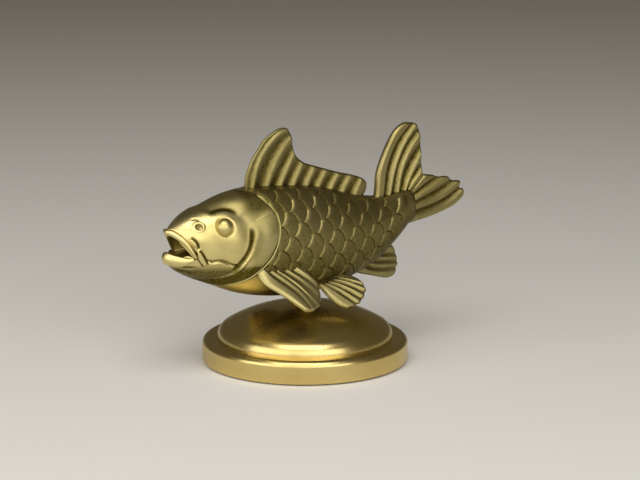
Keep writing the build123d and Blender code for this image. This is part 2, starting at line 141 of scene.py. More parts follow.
def newGroup(name, inputs, outputs):
    group = bpy.data.node_groups.new(name, "ShaderNodeTree")
    for socketName, value in inputs.items():
        kind = "NodeSocketColor" if isinstance(value, tuple) else "NodeSocketFloat"
        socket = group.interface.new_socket(socketName, in_out="INPUT", socket_type=kind)
        socket.default_value = value
    for socketName, kind in outputs.items():
        group.interface.new_socket(socketName, in_out="OUTPUT", socket_type=kind)
    source, result = group.nodes.new("NodeGroupInput"), group.nodes.new("NodeGroupOutput")
    source.location, result.location = (-900, 0), (700, 0)
    return group, source, result


def addNode(tree, kind, x, y, values=None, **settings):
    node = tree.nodes.new(kind)
    node.location = (x, y)
    for key, value in settings.items():
        setattr(node, key, value)
    for key, value in (values or {}).items():
        node.inputs[key].default_value = value
    return node


def wire(tree, *wires):
    # each wire is a node and its output, then a node and its input
    for fromNode, output, toNode, entry in wires:
        tree.links.new(fromNode.outputs[output], toNode.inputs[entry])


# dirt and old tarnish that stay in the hollows of a casting, with painted shade in the same creases, grooves
# and recesses
hollowDirt, source, result = newGroup(
    "hollowDirt", {"Dirt and shade amount": 1.0, "Spot size": 900.0}, {"Mask": "NodeSocketFloat"})
hollowValue = addNode(hollowDirt, "ShaderNodeAttribute", -900, 250, attribute_name="hollow")
spotPlace = addNode(hollowDirt, "ShaderNodeTexCoord", -900, -250)
spotNoise = addNode(hollowDirt, "ShaderNodeTexNoise", -650, -150, {"Detail": 4})
spotRange = addNode(
    hollowDirt, "ShaderNodeMapRange", -430, -150,
    {"From Min": 0.25, "From Max": 0.75, "To Min": 0.88, "To Max": 1.1},
)
spotTimes = addNode(hollowDirt, "ShaderNodeMath", -200, 120, operation="MULTIPLY")
amountTimes = addNode(hollowDirt, "ShaderNodeMath", 50, 120, operation="MULTIPLY", use_clamp=True)
wire(
    hollowDirt,
    (spotPlace, "Object", spotNoise, "Vector"), (source, "Spot size", spotNoise, "Scale"),
    (spotNoise, "Fac", spotRange, "Value"), (hollowValue, "Fac", spotTimes, 0),
    (spotRange, "Result", spotTimes, 1), (spotTimes, 0, amountTimes, 0),
    (source, "Dirt and shade amount", amountTimes, 1), (amountTimes, 0, result, "Mask"),
)

# slow cloudy change of colour and polish over a handled surface
handledTone, source, result = newGroup(
    "handledTone",
    {"Cloud size": 60.0, "Bright": (1, 1, 1, 1), "Deep": (0.5, 0.5, 0.5, 1), "Gloss low": 0.2,
     "Gloss high": 0.4},
    {"Colour": "NodeSocketColor", "Roughness": "NodeSocketFloat"},
)
cloudPlace = addNode(handledTone, "ShaderNodeTexCoord", -900, -250)
cloudNoise = addNode(handledTone, "ShaderNodeTexNoise", -650, -150, {"Detail": 5, "Roughness": 0.62})
cloudRange = addNode(handledTone, "ShaderNodeMapRange", -430, -150, {"From Min": 0.3, "From Max": 0.7})
cloudMix = addNode(handledTone, "ShaderNodeMix", 150, 120, data_type="RGBA")
glossRange = addNode(handledTone, "ShaderNodeMapRange", 150, -150)
wire(
    handledTone,
    (cloudPlace, "Object", cloudNoise, "Vector"), (source, "Cloud size", cloudNoise, "Scale"),
    (cloudNoise, "Fac", cloudRange, "Value"), (cloudRange, "Result", cloudMix, "Factor"),
    (source, "Bright", cloudMix, "A"), (source, "Deep", cloudMix, "B"),
    (cloudRange, "Result", glossRange, "Value"), (source, "Gloss low", glossRange, "To Min"),
    (source, "Gloss high", glossRange, "To Max"), (cloudMix, "Result", result, "Colour"),
    (glossRange, "Result", result, "Roughness"),
)

# fine grain with scattered pits
castGrain, source, result = newGroup(
    "castGrain", {"Grain size": 2500.0, "Pit size": 700.0, "Pit share": 0.3}, {"Height": "NodeSocketFloat"})
grainPlace = addNode(castGrain, "ShaderNodeTexCoord", -900, -250)
grainNoise = addNode(castGrain, "ShaderNodeTexNoise", -600, 100, {"Detail": 3})
pitNoise = addNode(castGrain, "ShaderNodeTexNoise", -600, -200, {"Detail": 2})
grainMix = addNode(castGrain, "ShaderNodeMix", 100, 0, data_type="FLOAT")
wire(
    castGrain,
    (grainPlace, "Object", grainNoise, "Vector"), (grainPlace, "Object", pitNoise, "Vector"),
    (source, "Grain size", grainNoise, "Scale"), (source, "Pit size", pitNoise, "Scale"),
    (source, "Pit share", grainMix, "Factor"), (grainNoise, "Fac", grainMix, "A"),
    (pitNoise, "Fac", grainMix, "B"), (grainMix, "Result", result, "Height"),
)


def newMaterial(name, look):
    # cloudy colour and gloss over a fine grain, with tarnish and painted shade in the hollows where the look
    # has any
    material = bpy.data.materials.new(name)
    material.use_nodes = True
    tree = material.node_tree
    shader = tree.nodes["Principled BSDF"]
    for key, value in look["shader"].items():
        shader.inputs[key].default_value = value
    tone = addNode(tree, "ShaderNodeGroup", -900, 300, node_tree=handledTone, values=look["tone"])
    grain = addNode(tree, "ShaderNodeGroup", -900, -300, node_tree=castGrain, values=look["grain"])
    bump = addNode(tree, "ShaderNodeBump", -300, -250, look["bump"])
    wire(tree, (grain, "Height", bump, "Height"), (bump, "Normal", shader, "Normal"))
    if "tarnishAndShade" not in look:
        wire(tree, (tone, "Colour", shader, "Base Color"), (tone, "Roughness", shader, "Roughness"))
        return material
    dirtAndShade = addNode(tree, "ShaderNodeGroup", -900, 0, node_tree=hollowDirt, values=look["dirtAndShade"])
    colour = addNode(tree, "ShaderNodeMix", -550, 300, data_type="RGBA", values={"B": look["tarnishAndShade"]})
    gloss = addNode(tree, "ShaderNodeMix", -550, 60, data_type="FLOAT", values={"B": look["tarnishGloss"]})
    wire(
        tree,
        (tone, "Colour", colour, "A"), (tone, "Roughness", gloss, "A"),
        (dirtAndShade, "Mask", colour, "Factor"), (dirtAndShade, "Mask", gloss, "Factor"),
        (colour, "Result", shader, "Base Color"), (gloss, "Result", shader, "Roughness"),
    )
    return material


brassLook = {
    "shader": {"Metallic": 1.0},
    "tone": {"Cloud size": 45.0, "Bright": (0.74, 0.64, 0.31, 1), "Deep": (0.60, 0.50, 0.19, 1),
             "Gloss low": 0.3, "Gloss high": 0.4},
    "grain": {"Grain size": 2600.0, "Pit share": 0.35},
    "bump": {"Strength": 0.25, "Distance": 0.00006},
    "dirtAndShade": {"Dirt and shade amount": 1.0}, "tarnishAndShade": (0.068, 0.051, 0.003, 1), "tarnishGloss": 0.46,
}


def brassMaterial(name, tone, grainStrength):
    # the brass of the body with another tone and grain
    bump = {**brassLook["bump"], "Strength": grainStrength}
    return newMaterial(name, {**brassLook, "tone": {**brassLook["tone"], **tone}, "bump": bump})


bodyBrass = newMaterial("castBodyBrass", brassLook)
finBrass = brassMaterial("castFinBrass", {"Gloss low": 0.28, "Gloss high": 0.38}, 0.25)
eyeBrass = brassMaterial("handledEyeBrass", {"Gloss low": 0.32, "Gloss high": 0.4}, 0.1)
baseBrass = brassMaterial(
    "turnedBaseBrass",
    {"Cloud size": 28.0, "Bright": (0.74, 0.59, 0.25, 1), "Deep": (0.60, 0.45, 0.15, 1),
     "Gloss low": 0.25, "Gloss high": 0.32},
    0.12,
)
print("materials made")

fishForm = {
    "fullness": 2.35,   # 2 is an ellipse, more is squarer
    # place along, back, belly and half width
    "sections": [
        (-61.5, 57.0, 46.7, 1.3), (-60.4, 58.2, 44.9, 2.7), (-58.0, 60.2, 42.7, 5.3),
        (-53.0, 63.4, 39.7, 9.1), (-46.0, 66.2, 36.6, 11.4), (-36.0, 69.1, 32.3, 12.8),
        (-24.0, 70.6, 28.9, 13.6), (-10.0, 69.9, 27.2, 13.6), (4.0, 68.2, 27.4, 12.6),
        (16.0, 64.9, 29.9, 10.9), (27.0, 61.9, 33.5, 8.8), (36.0, 60.9, 38.6, 6.9),
        (43.0, 62.1, 44.0, 5.5), (47.5, 62.6, 48.4, 4.6),
    ],
    "alongCount": 900, "leanCount": 241, "shareCount": 401,   # steps in the tables of the smooth form
    "headRings": 272, "headRound": 170, "noseTip": -61.5, "headEnd": -17.7,
    "trunkRings": 110, "trunkRound": 100, "trunkStart": -18.6, "stemEnd": 47.5,
    "sinkPlaces": (-17.8, -18.3), "sinkShare": 0.004,
    "seamFade": (1, 0.93),   # the relief fades out where the two sides meet, on the back and under the chin
    "endRings": 22, "endLength": 3.7, "endRound": 0.62, "endCurve": 1.1,
}
fullness = fishForm["fullness"]
sectionRows = np.array(fishForm["sections"])
alongFine = np.linspace(sectionRows[0, 0], sectionRows[-1, 0], fishForm["alongCount"])


def profileLine(column):
    line = smoothCurve(sectionRows[:, [0, column]], len(alongFine))
    return np.interp(alongFine, line[:, 0], line[:, 1])


backLine, bellyLine, sideLine = profileLine(1), profileLine(2), profileLine(3)
middleLine, tallLine = (backLine + bellyLine) / 2, (backLine - bellyLine) / 2


def sectionAt(x):
    return [np.interp(x, alongFine, line) for line in (middleLine, tallLine, sideLine)]


def bodyHalf(x, z):
    # half width of the body at a place along it and a height
    middle, tall, side = sectionAt(x)
    lean = np.clip(np.abs(z - middle) / tall, 0, 1)
    return side * (1 - lean ** fullness) ** (1 / fullness)


# length round a quarter of each section, from the side to the back, for turning girth into a place
leanFine = np.radians(np.linspace(0, 90, fishForm["leanCount"]))
quarterWide = np.cos(leanFine) ** (2 / fullness)
quarterTall = np.sin(leanFine) ** (2 / fullness)
quarterStep = np.hypot(
    np.diff(quarterWide) * sideLine[:, None], np.diff(quarterTall) * tallLine[:, None]
)
quarterLength = np.concatenate([np.zeros((len(alongFine), 1)), np.cumsum(quarterStep, 1)], 1)
girthLine = quarterLength[:, -1]
evenShare = np.linspace(0, 1, fishForm["shareCount"])
leanTable = np.stack([
    np.interp(evenShare, row / row[-1], leanFine) for row in quarterLength
])


def tableAt(table, rowPlace, columnPlace):
    # a table read between its rows and columns
    rows, columns = table.shape
    fromEnd = 1.001   # stops just before the last row and column
    r = np.clip(rowPlace, 0, rows - fromEnd)
    c = np.clip(columnPlace, 0, columns - fromEnd)
    i, j = r.astype(int), c.astype(int)
    u, v = r - i, c - j
    return ((1 - u) * (1 - v) * table[i, j] + u * (1 - v) * table[i + 1, j]
            + (1 - u) * v * table[i, j + 1] + u * v * table[i + 1, j + 1])


def rowAt(x):
    return (x - alongFine[0]) / (alongFine[-1] - alongFine[0]) * (len(alongFine) - 1)


def halfGirth(x):
    return np.interp(x, alongFine, girthLine)


def surfacePlace(x, girth, lift=0.0):
    # a point on the left side, girth being the way round from the side's middle, up positive
    x, girth = np.broadcast_arrays(np.asarray(x, float), np.asarray(girth, float))
    share = np.clip(np.abs(girth) / halfGirth(x), 0, 1)
    lean = tableAt(leanTable, rowAt(x), share * (len(evenShare) - 1)) * np.sign(girth)
    middle, tall, side = sectionAt(x)
    wideShare = np.cos(lean) ** (2 / fullness)
    tallShare = np.sign(lean) * np.abs(np.sin(lean)) ** (2 / fullness)
    gap = 0.05   # step for the slopes
    ahead, behind = sectionAt(x + gap), sectionAt(x - gap)
    middleSlope, tallSlope, sideSlope = [(a - b) / (2 * gap) for a, b in zip(ahead, behind)]
    wideForce = wideShare ** (fullness - 1)
    tallForce = np.abs(tallShare) ** (fullness - 1) * np.sign(tallShare)
    normal = np.stack([
        -(wideForce * wideShare * sideSlope / side
          + np.abs(tallForce * tallShare) * tallSlope / tall + tallForce * middleSlope / tall),
        -wideForce / side,
        tallForce / tall,
    ], -1)
    normal /= np.linalg.norm(normal, axis=-1, keepdims=True)
    place = np.stack([x, -side * wideShare, middle + tall * tallShare], -1)
    return place + normal * np.asarray(lift, float)[..., None]


def heightToGirth(x, z):
    # the way round from the side's middle to a height at one place along
    middle, tall, side = sectionAt(x)
    lean = math.asin(min(abs(z - middle) / tall, 1) ** (fullness / 2))
    girth = np.interp(lean, leanFine, quarterLength[int(round(rowAt(x)))])
    return float(girth * np.sign(z - middle))


# lines on the head's side: place along and girth, from front to back or top to bottom
headLines = {
    "gillRim": [(-25.6, 20.6), (-24.2, 18.9), (-22.6, 16.6), (-21.1, 14.2), (-20.3, 11.7), (-19.9, 9.0),
                (-19.9, 6.9), (-20.2, 4.8), (-20.7, 2.5), (-21.6, 0.0), (-23.1, -3.0), (-25.2, -5.8),
                (-27.3, -7.9), (-29.7, -9.9), (-32.2, -11.8), (-34.9, -13.5), (-37.6, -15.0),
                (-40.3, -16.6), (-43.0, -18.3)],
    "innerGroove": [(-31.5, 8.0), (-31.6, 6.1), (-31.9, 4.0), (-32.6, 0.8), (-33.7, -1.9), (-35.3, -4.2),
                    (-37.1, -6.4), (-38.6, -8.0), (-40.2, -9.0)],
    "innerRidge": [(-30.0, 9.6), (-30.0, 7.4), (-30.3, 4.8), (-31.1, 1.3), (-32.6, -2.2), (-34.4, -4.9),
                   (-36.3, -7.5), (-38.2, -9.3), (-40.3, -10.6), (-42.6, -11.6), (-45.0, -12.4),
                   (-47.4, -12.9)],
    "jawLine": [(-49.8, -4.6), (-48.6, -4.7), (-47.4, -4.9), (-45.6, -4.7), (-43.8, -4.8), (-41.5, -5.6),
                (-39.4, -6.2), (-37.4, -6.3)],
    "browFold": [(-47.3, 13.0), (-44.3, 15.1), (-41.1, 15.6), (-38.3, 14.8), (-36.6, 13.6), (-35.6, 11.9)],
    "nostrilFold": [(-53.3, 11.4), (-51.9, 11.7), (-50.8, 10.8)],
    "lipCrease": [(-60.8, 7.6), (-59.4, 6.5), (-58.1, 5.0), (-57.1, 3.6), (-56.0, 2.1), (-54.8, 0.4),
                  (-53.5, -1.8), (-52.9, -3.1)],
    "bean": [(-55.3, 3.6), (-54.5, 2.8), (-53.7, 1.7), (-53.2, 0.7)],
    "beanCrease": [(-54.9, 4.4), (-53.8, 3.5), (-53.0, 2.2), (-52.6, 0.8), (-52.6, -0.2)],
    "leaf": [(-52.6, -1.3), (-52.1, -2.5), (-51.5, -3.8), (-50.7, -5.2), (-49.8, -6.5)],
    "leafRear": [(-52.1, -0.4), (-51.3, -1.7), (-50.4, -3.3), (-49.6, -4.9), (-49.0, -6.6)],
    "leafFront": [(-53.3, -1.0), (-53.3, -2.3), (-53.0, -3.4), (-51.9, -5.2), (-50.3, -7.5)],
    "chinFold": [(-60.3, -6.2), (-58.8, -7.1), (-57.3, -7.4), (-55.8, -7.5), (-53.6, -7.5), (-51.6, -8.2)],
    "lowChinFold": [(-59.2, -8.8), (-57.4, -9.4), (-55.2, -9.9), (-52.4, -11.0)],
}


def nearLine(x, girth, name, samples=150):
    # signed distance to a line, positive on its left when walking along it, and the share walked
    line = smoothCurve(headLines[name], samples)
    flat = np.stack([np.ravel(x), np.ravel(girth)], 1)
    nearest, blockSize = np.empty(len(flat), int), 20000   # in blocks, which take less memory
    for start in range(0, len(flat), blockSize):
        block = flat[start:start + blockSize]
        nearest[start:start + blockSize] = ((block[:, None] - line[None]) ** 2).sum(2).argmin(1)
    way = unitWay(line)
    gap = flat - line[nearest]
    side = gap[:, 0] * -way[nearest, 1] + gap[:, 1] * way[nearest, 0]
    past = (gap * way[nearest]).sum(1)
    atEnd = (nearest == 0) | (nearest == samples - 1)
    distance = np.where(atEnd, np.hypot(side, past), np.abs(side))
    shape = np.shape(x)
    return (np.reshape(side, shape), np.reshape(distance, shape),
            np.reshape(nearest / (samples - 1), shape))


def fadeEnds(share, first, last):
    return smoothStep(0, first, share) * smoothStep(1, 1 - last, share)


def bell(distance, width):
    return np.exp(-(distance / width) ** 2)


# rim of the gill covers: a beaded edge with a groove inside it
gillRim = {
    # shares of the line over which it starts under the back and sinks into the throat
    "firstShare": 0.075, "starts": (0.08, 0.2), "sinks": (1, 0.75),
    # distance from the rim's line, outside positive, and height off the smooth form
    "profile": [(0.95, -0.35), (0.72, -0.12), (0.55, 0.22), (0.42, 0.46), (0.28, 0.60), (0.12, 0.62),
                (-0.02, 0.52), (-0.16, 0.30), (-0.30, 0.12), (-0.44, 0.10), (-0.60, 0.28), (-0.78, 0.62),
                (-1.00, 0.86)],
    "lineCount": 220, "profileCount": 40,
    "insideReach": 2.6, "insideRows": 9, "blend": (-1.1, -0.8), "endSink": 0.3, "tuck": 0.05,
    # place and half width of the dark groove and of the bead, which is rubbed bright
    "groove": (-0.38, 0.28), "bead": (0.16, 0.24), "beadPolish": 0.9, "outerDirtAndShade": (0.38, 0.66),
}
headRelief = {
    # middle of each broad swelling as place along and girth, its reach and its height
    "swellings": [(-26.4, 5.0, 5.5, 0.75), (-38.5, 1.0, 5.0, 0.55), (-52.5, 3.6, 2.6, 0.3),
                  (-47.5, -9.0, 4.5, 0.35)],
    # elsewhere a pair is where a change begins and where it is whole, ends are shares of the line, and
    # the eye's place is given along and in height, the nostril's along and in girth
    "cover": {"lift": 0.95, "slope": (13.0, 1.5), "edge": (-0.4, 0.5), "rimClear": (0.3, 1.1),
              "trench": 0.25, "trenchInside": (1.2, 0.2), "trenchOutside": (-1.2, -0.2)},
    "ridge": {"height": 0.6, "thin": 0.55, "broader": 1.5, "broadPart": (0.62, 0.25), "ends": (0.18, 0.15)},
    "cheek": {"height": 0.35, "rise": (0.2, 1.4), "fall": (9.0, 3.0), "ends": (0.3, 0.1)},
    "jaw": {"height": 0.4, "offset": 1.1, "width": 0.75, "reach": 4, "ends": (0.1, 0.3)},
    "eye": {"place": (-42.2, 58.9), "ring": 0.45, "top": 3.6, "foot": 7.2, "cheekFoot": 3.0, "cheekMost": 1.2,
            "socket": 0.4, "socketEdge": (4.0, 3.0), "dirtAndShade": 0.65, "shadowEdge": (3.6, 3.1)},
    "brow": {"depth": 0.65, "foreheadWidth": 4.0, "eyeWidth": 1.1, "ends": (0.25, 0.3),
             "dirtAndShade": 0.75, "dirtOffset": 0.2, "dirtWidth": 0.95, "dirtReach": 4},
    "nostril": {"place": (-51.6, 8.3), "rim": 0.22, "rimRadius": 1.65, "rimWidth": 0.5, "depth": 0.75,
                "edge": (1.4, 0.85), "knobOffset": 0.45, "knobWidth": 0.7, "dirtAndShade": 0.9},
    # height and half width of the two lobes of skin at the mouth's corner
    "lobes": {"bean": (0.55, 0.76), "leaf": (0.5, 1.0)},
    "lobeFullness": 4.2, "lobeTip": 0.08, "lobeEdge": (0.22, -0.3),
    # depth, half width, dirt with painted shade and the shares over which each end fades
    "creases": {
        "innerGroove": (1.15, 0.72, 1.0, 0.16, 0.2), "jawLine": (0.55, 0.36, 0.9, 0.06, 0.1),
        "nostrilFold": (0.4, 0.35, 0.6, 0.25, 0.25),
        "lipCrease": (0.6, 0.38, 0.9, 0.04, 0.1), "beanCrease": (0.7, 0.32, 1.0, 0.12, 0.1),
        "leafRear": (0.7, 0.32, 1.0, 0.08, 0.12), "leafFront": (0.5, 0.26, 0.9, 0.08, 0.12),
        "chinFold": (0.6, 0.5, 0.6, 0.1, 0.4), "lowChinFold": (0.3, 0.5, 0.25, 0.2, 0.4),
    },
    # thin bars of the gill membrane under the cover
    "membrane": {"along": (0.55, 0.68), "inside": (0.6, 1.4), "offRidge": (0.5, 1.2), "below": (-6.5, -8.5),
                 "pitch": 1.05, "depth": 0.32, "dirtAndShade": 0.5},
    # amount of darkening on the crown, under the jaw and towards the cover's rear, with painted shade of the
    # top of the head and of the jaw's underside as well as tarnish, then where it begins and where it is
    # whole
    "tarnishAndShade": {"crown": (0.45, 11.5, 15.5), "jaw": (0.85, -5.5, -9.5), "cover": (0.4, -34, -30)},
    "onHead": (0.6, -0.3), "offHead": (-0.3, 0.6), "flankFrom": (-38, -19),
    # a painted shadow with dirt in a line just outside the cover's rim
    "behindRim": {"dirtAndShade": 0.5, "offset": 0.9, "width": 0.6},
}
eyeGirth = heightToGirth(*headRelief["eye"]["place"])
# the sides are painted darker, partly tarnish and partly shade; the back beside its fin more than the rest,
# and the belly more again as painted shade of the underside
flank = {"tarnishAndShade": 0.72, "backMore": 0.08, "back": (0.74, 0.95), "bellyShade": 0.18, "belly": (0.15, -0.4)}


def flankTarnishAndShade(x, girth):
    share = girth / halfGirth(x)
    return (flank["tarnishAndShade"] + flank["backMore"] * smoothStep(*flank["back"], share)
            + flank["bellyShade"] * smoothStep(*flank["belly"], share))


def rimFade(share):
    return smoothStep(*gillRim["starts"], share) * smoothStep(*gillRim["sinks"], share)


def headHeight(x, girth, underRim=True):
    # how far the head's skin stands off the smooth form, and how much dirt and painted shade darken it there
    lift, dirtAndShade = np.zeros_like(x), np.zeros_like(x)
    for middleX, middleGirth, reach, height in headRelief["swellings"]:
        lift += height * bell(np.hypot(x - middleX, girth - middleGirth), reach)

    form = headRelief["cover"]
    rimSide, apart, rimShare = nearLine(x, girth, "gillRim")
    inside, rimTaper = -rimSide, rimFade(rimShare)
    cover = form["lift"] * smoothStep(*form["slope"], inside) * smoothStep(*form["edge"], inside) * rimTaper
    if underRim:
        trench = smoothStep(*form["trenchInside"], inside) * smoothStep(*form["trenchOutside"], inside)
        cover = cover * smoothStep(*form["rimClear"], inside) - form["trench"] * trench * rimTaper
    lift += cover

    # a ridge that is broad behind the groove of the cheek and runs on as a thin line under the jaw
    form = headRelief["ridge"]
    ridgeSide, apart, share = nearLine(x, girth, "innerRidge")
    width = form["broader"] * smoothStep(*form["broadPart"], share) + form["thin"]
    lift += form["height"] * fadeEnds(share, *form["ends"]) * bell(apart, width)

    form = headRelief["cheek"]
    side, apart, share = nearLine(x, girth, "innerGroove")
    swell = smoothStep(*form["rise"], -side) * smoothStep(*form["fall"], -side)
    lift += form["height"] * swell * fadeEnds(share, *form["ends"])

    form = headRelief["jaw"]
    side, apart, share = nearLine(x, girth, "jawLine")
    swell = bell(side + form["offset"], form["width"]) * (apart < form["reach"])
    lift += form["height"] * swell * fadeEnds(share, *form["ends"])

    form = headRelief["eye"]
    alongX, alongGirth = x - form["place"][0], girth - eyeGirth
    reach = np.hypot(alongX, alongGirth)
    # the foot of the eye's ring runs out farther towards the cheek
    towardCheek = np.clip((alongX - alongGirth) / np.maximum(reach, 0.1), 0, form["cheekMost"])
    lift += form["ring"] * smoothStep(form["foot"] + form["cheekFoot"] * towardCheek, form["top"], reach)
    lift -= form["socket"] * smoothStep(*form["socketEdge"], reach)
    # a painted shadow ring just round the eye's ball, where it sits in its socket
    dirtAndShade += form["dirtAndShade"] * smoothStep(*form["shadowEdge"], reach)

    # the fold is steep on the eye's side and runs out slowly into the forehead
    form = headRelief["brow"]
    side, apart, share = nearLine(x, girth, "browFold")
    taper = fadeEnds(share, *form["ends"])
    lift -= form["depth"] * bell(apart, np.where(side > 0, form["foreheadWidth"], form["eyeWidth"])) * taper
    # dirt and painted shade along the fold under the brow
    soilAndShade = bell(side + form["dirtOffset"], form["dirtWidth"]) * (apart < form["dirtReach"])
    dirtAndShade += form["dirtAndShade"] * soilAndShade * taper

    form = headRelief["nostril"]
    alongX, alongGirth = x - form["place"][0], girth - form["place"][1]
    reach = np.hypot(alongX, alongGirth)
    pit = smoothStep(*form["edge"], reach)
    knob = bell(np.hypot(alongX - form["knobOffset"], alongGirth + form["knobOffset"]), form["knobWidth"])
    lift += form["rim"] * bell(reach - form["rimRadius"], form["rimWidth"]) + form["depth"] * (knob - pit)
    # dirt and painted shade in the nostril's pit
    dirtAndShade += form["dirtAndShade"] * pit * (1 - knob)

    for name, (tall, wide) in headRelief["lobes"].items():
        side, apart, share = nearLine(x, girth, name)
        full = np.clip(headRelief["lobeFullness"] * share * (1 - share), headRelief["lobeTip"], 1)
        outer, inner = [wide * np.sqrt(full) + reach for reach in headRelief["lobeEdge"]]
        lift += tall * smoothStep(outer, inner, apart)

    for name, (depth, width, soilAndShade, first, last) in headRelief["creases"].items():
        side, apart, share = nearLine(x, girth, name)
        cut = bell(apart, width) * fadeEnds(share, first, last)
        lift -= depth * cut
        # dirt and painted shade in each crease
        dirtAndShade += soilAndShade * cut

    form = headRelief["membrane"]
    low = (smoothStep(*form["along"], rimShare) * smoothStep(*form["inside"], inside)
           * smoothStep(*form["offRidge"], ridgeSide) * smoothStep(*form["below"], girth))
    low = low * (0.5 - 0.5 * np.cos(2 * math.pi * inside / form["pitch"]))
    lift -= form["depth"] * low
    # dirt and painted shade between the bars of the membrane
    dirtAndShade += form["dirtAndShade"] * low

    offHead = smoothStep(*headRelief["offHead"], rimSide) * smoothStep(*headRelief["flankFrom"], x)
    dirtAndShade += flankTarnishAndShade(x, girth) * offHead
    # the crown and the underside of the jaw are painted darker: tarnish with painted shade
    for name, (amount, first, last) in headRelief["tarnishAndShade"].items():
        place = x if name == "cover" else girth
        dirtAndShade += amount * smoothStep(first, last, place) * smoothStep(*headRelief["onHead"], rimSide)
    # a painted shadow with dirt in a line just outside the cover's rim
    form = headRelief["behindRim"]
    dirtAndShade += form["dirtAndShade"] * bell(rimSide - form["offset"], form["width"]) * rimTaper
    return lift, np.clip(dirtAndShade, 0, 1)


mouth = {
    # each lip's middle line from the corner forwards, as place along and height, then its front
    "upper": [(-53.3, 48.0), (-53.8, 49.2), (-54.8, 51.1), (-55.8, 52.8), (-56.7, 54.1), (-57.7, 55.2),
              (-58.9, 56.4), (-60.1, 57.2), (-60.95, 57.4)],
    "lower": [(-53.7, 47.4), (-54.9, 46.9), (-56.4, 46.6), (-58.0, 46.6), (-59.5, 46.9), (-60.5, 47.2),
              (-61.15, 47.5)],
    "innerUpper": [(-53.5, 47.8), (-54.3, 48.8), (-55.2, 50.2), (-56.1, 51.6), (-57.0, 52.8), (-58.2, 54.1)],
    "innerLower": [(-53.6, 47.6), (-54.3, 48.0), (-55.1, 48.3), (-56.1, 48.5), (-57.0, 48.1)],
    "pathCount": 121, "tubeRound": 24, "leastHalf": 0.05,
    # depth under the skin, then half thickness over the skin and along it at the corner, near it and in front
    "upperInset": 0.2, "upperDeep": (0.55, 0.95, 1.0), "upperTall": (0.5, 1.05, 1.15),
    "lowerInset": 0.45, "lowerDeep": (0.6, 1.4, 1.5), "lowerTall": (0.6, 2.0, 2.4),
    "sizePlaces": (0, 0.45, 1),
    # depth under the skin, both half thicknesses and dirt with painted shade of the folds inside the lips
    "folds": {"innerUpper": (0.4, 0.3, 0.36, 0.2), "innerLower": (0.5, 0.5, 0.5, 0.1)},
    "foldCount": 40, "foldTip": 0.08, "foldRound": 0.6,
    "throat": (-46.5, 0.0, 51.0), "funnelRings": 14, "funnelBulge": 1.6,
    "rimDirtAndShade": 0.45, "throatDirtAndShade": 0.4, "throatCurve": 0.7,
}


def insideMouth(x, z):
    # the opening between the middle lines of the lips, seen from the side
    upper, lower = np.array(mouth["upper"])[::-1], np.array(mouth["lower"])[::-1]
    under = z < np.interp(x, upper[:, 0], upper[:, 1])
    over = z > np.interp(x, lower[:, 0], lower[:, 1])
    return under & over & (x < mouth["upper"][0][0])


def wholeRound(places, roundCount, relief):
    # left side from belly to back, then the right side from back to belly
    share = np.linspace(-1, 1, roundCount + 1)
    x = np.repeat(places[:, None], roundCount + 1, 1)
    girth = share[None] * halfGirth(places)[:, None]
    if relief:
        lift, dirtAndShade = headHeight(x, girth)
        lift = lift * smoothStep(*fishForm["seamFade"], np.abs(share))[None]
    else:
        lift, dirtAndShade = 0.0, flankTarnishAndShade(x, girth)
    left = surfacePlace(x, girth, lift)
    right = left[:, -2:0:-1] * np.array([1, -1, 1])
    return np.concatenate([left, right], 1), np.concatenate([dirtAndShade, dirtAndShade[:, -2:0:-1]], 1)


headPlaces = np.linspace(fishForm["noseTip"], fishForm["headEnd"], fishForm["headRings"])
headPart = gridPart(*wholeRound(headPlaces, fishForm["headRound"], True), loopColumns=True)
faceMiddle = headPart["corners"][headPart["faces"]].mean(1)
headPart["faces"] = headPart["faces"][~insideMouth(faceMiddle[:, 0], faceMiddle[:, 2])]

trunkPlaces = np.linspace(fishForm["trunkStart"], fishForm["stemEnd"], fishForm["trunkRings"])
# the trunk carries the sides' tarnish and painted shade
trunkGrid, trunkDirtAndShade = wholeRound(trunkPlaces, fishForm["trunkRound"], False)
# its start lies just under the head's end
sinkIn = smoothStep(*fishForm["sinkPlaces"], trunkPlaces)[:, None, None] * fishForm["sinkShare"]
axis = np.stack([trunkPlaces, 0 * trunkPlaces, sectionAt(trunkPlaces)[0]], 1)[:, None]
trunkGrid = trunkGrid - (trunkGrid - axis) * sinkIn
# the stem ends in a rounded stub between the lobes of the tail
endAngle = np.radians(np.linspace(0, 90, fishForm["endRings"]))[1:]
endRing, endAxis = trunkGrid[-1], axis[-1]
endRings = np.stack([
    endAxis + (endRing - endAxis) * math.cos(angle) ** fishForm["endRound"]
    + np.array([fishForm["endLength"] * math.sin(angle) ** fishForm["endCurve"], 0, 0])
    for angle in endAngle
])
trunkGrid = np.concatenate([trunkGrid, endRings])
trunkDirtAndShade = np.concatenate([trunkDirtAndShade, np.repeat(trunkDirtAndShade[-1:], len(endRings), 0)])
trunkPart = gridPart(trunkGrid, trunkDirtAndShade, loopColumns=True)


def tubePart(path, wide, tall, dirtAndShade=0.0):
    # an oval tube along a path: wide to the side, tall the other way, closed at its ends
    roundCount = mouth["tubeRound"]
    way = unitWay(path)
    across = np.cross(way, np.array([0, 0, 1.0]))
    across /= np.linalg.norm(across, axis=1, keepdims=True)
    over = np.cross(across, way)
    angle = np.linspace(0, 2 * math.pi, roundCount, endpoint=False)
    grid = (path[:, None] + across[:, None] * np.cos(angle)[None, :, None] * wide[:, None, None]
            + over[:, None] * np.sin(angle)[None, :, None] * tall[:, None, None])
    grid = np.concatenate([
        np.repeat(path[:1, None], roundCount, 1), grid, np.repeat(path[-1:, None], roundCount, 1)])
    return gridPart(grid, dirtAndShade, loopColumns=True, flip=True)


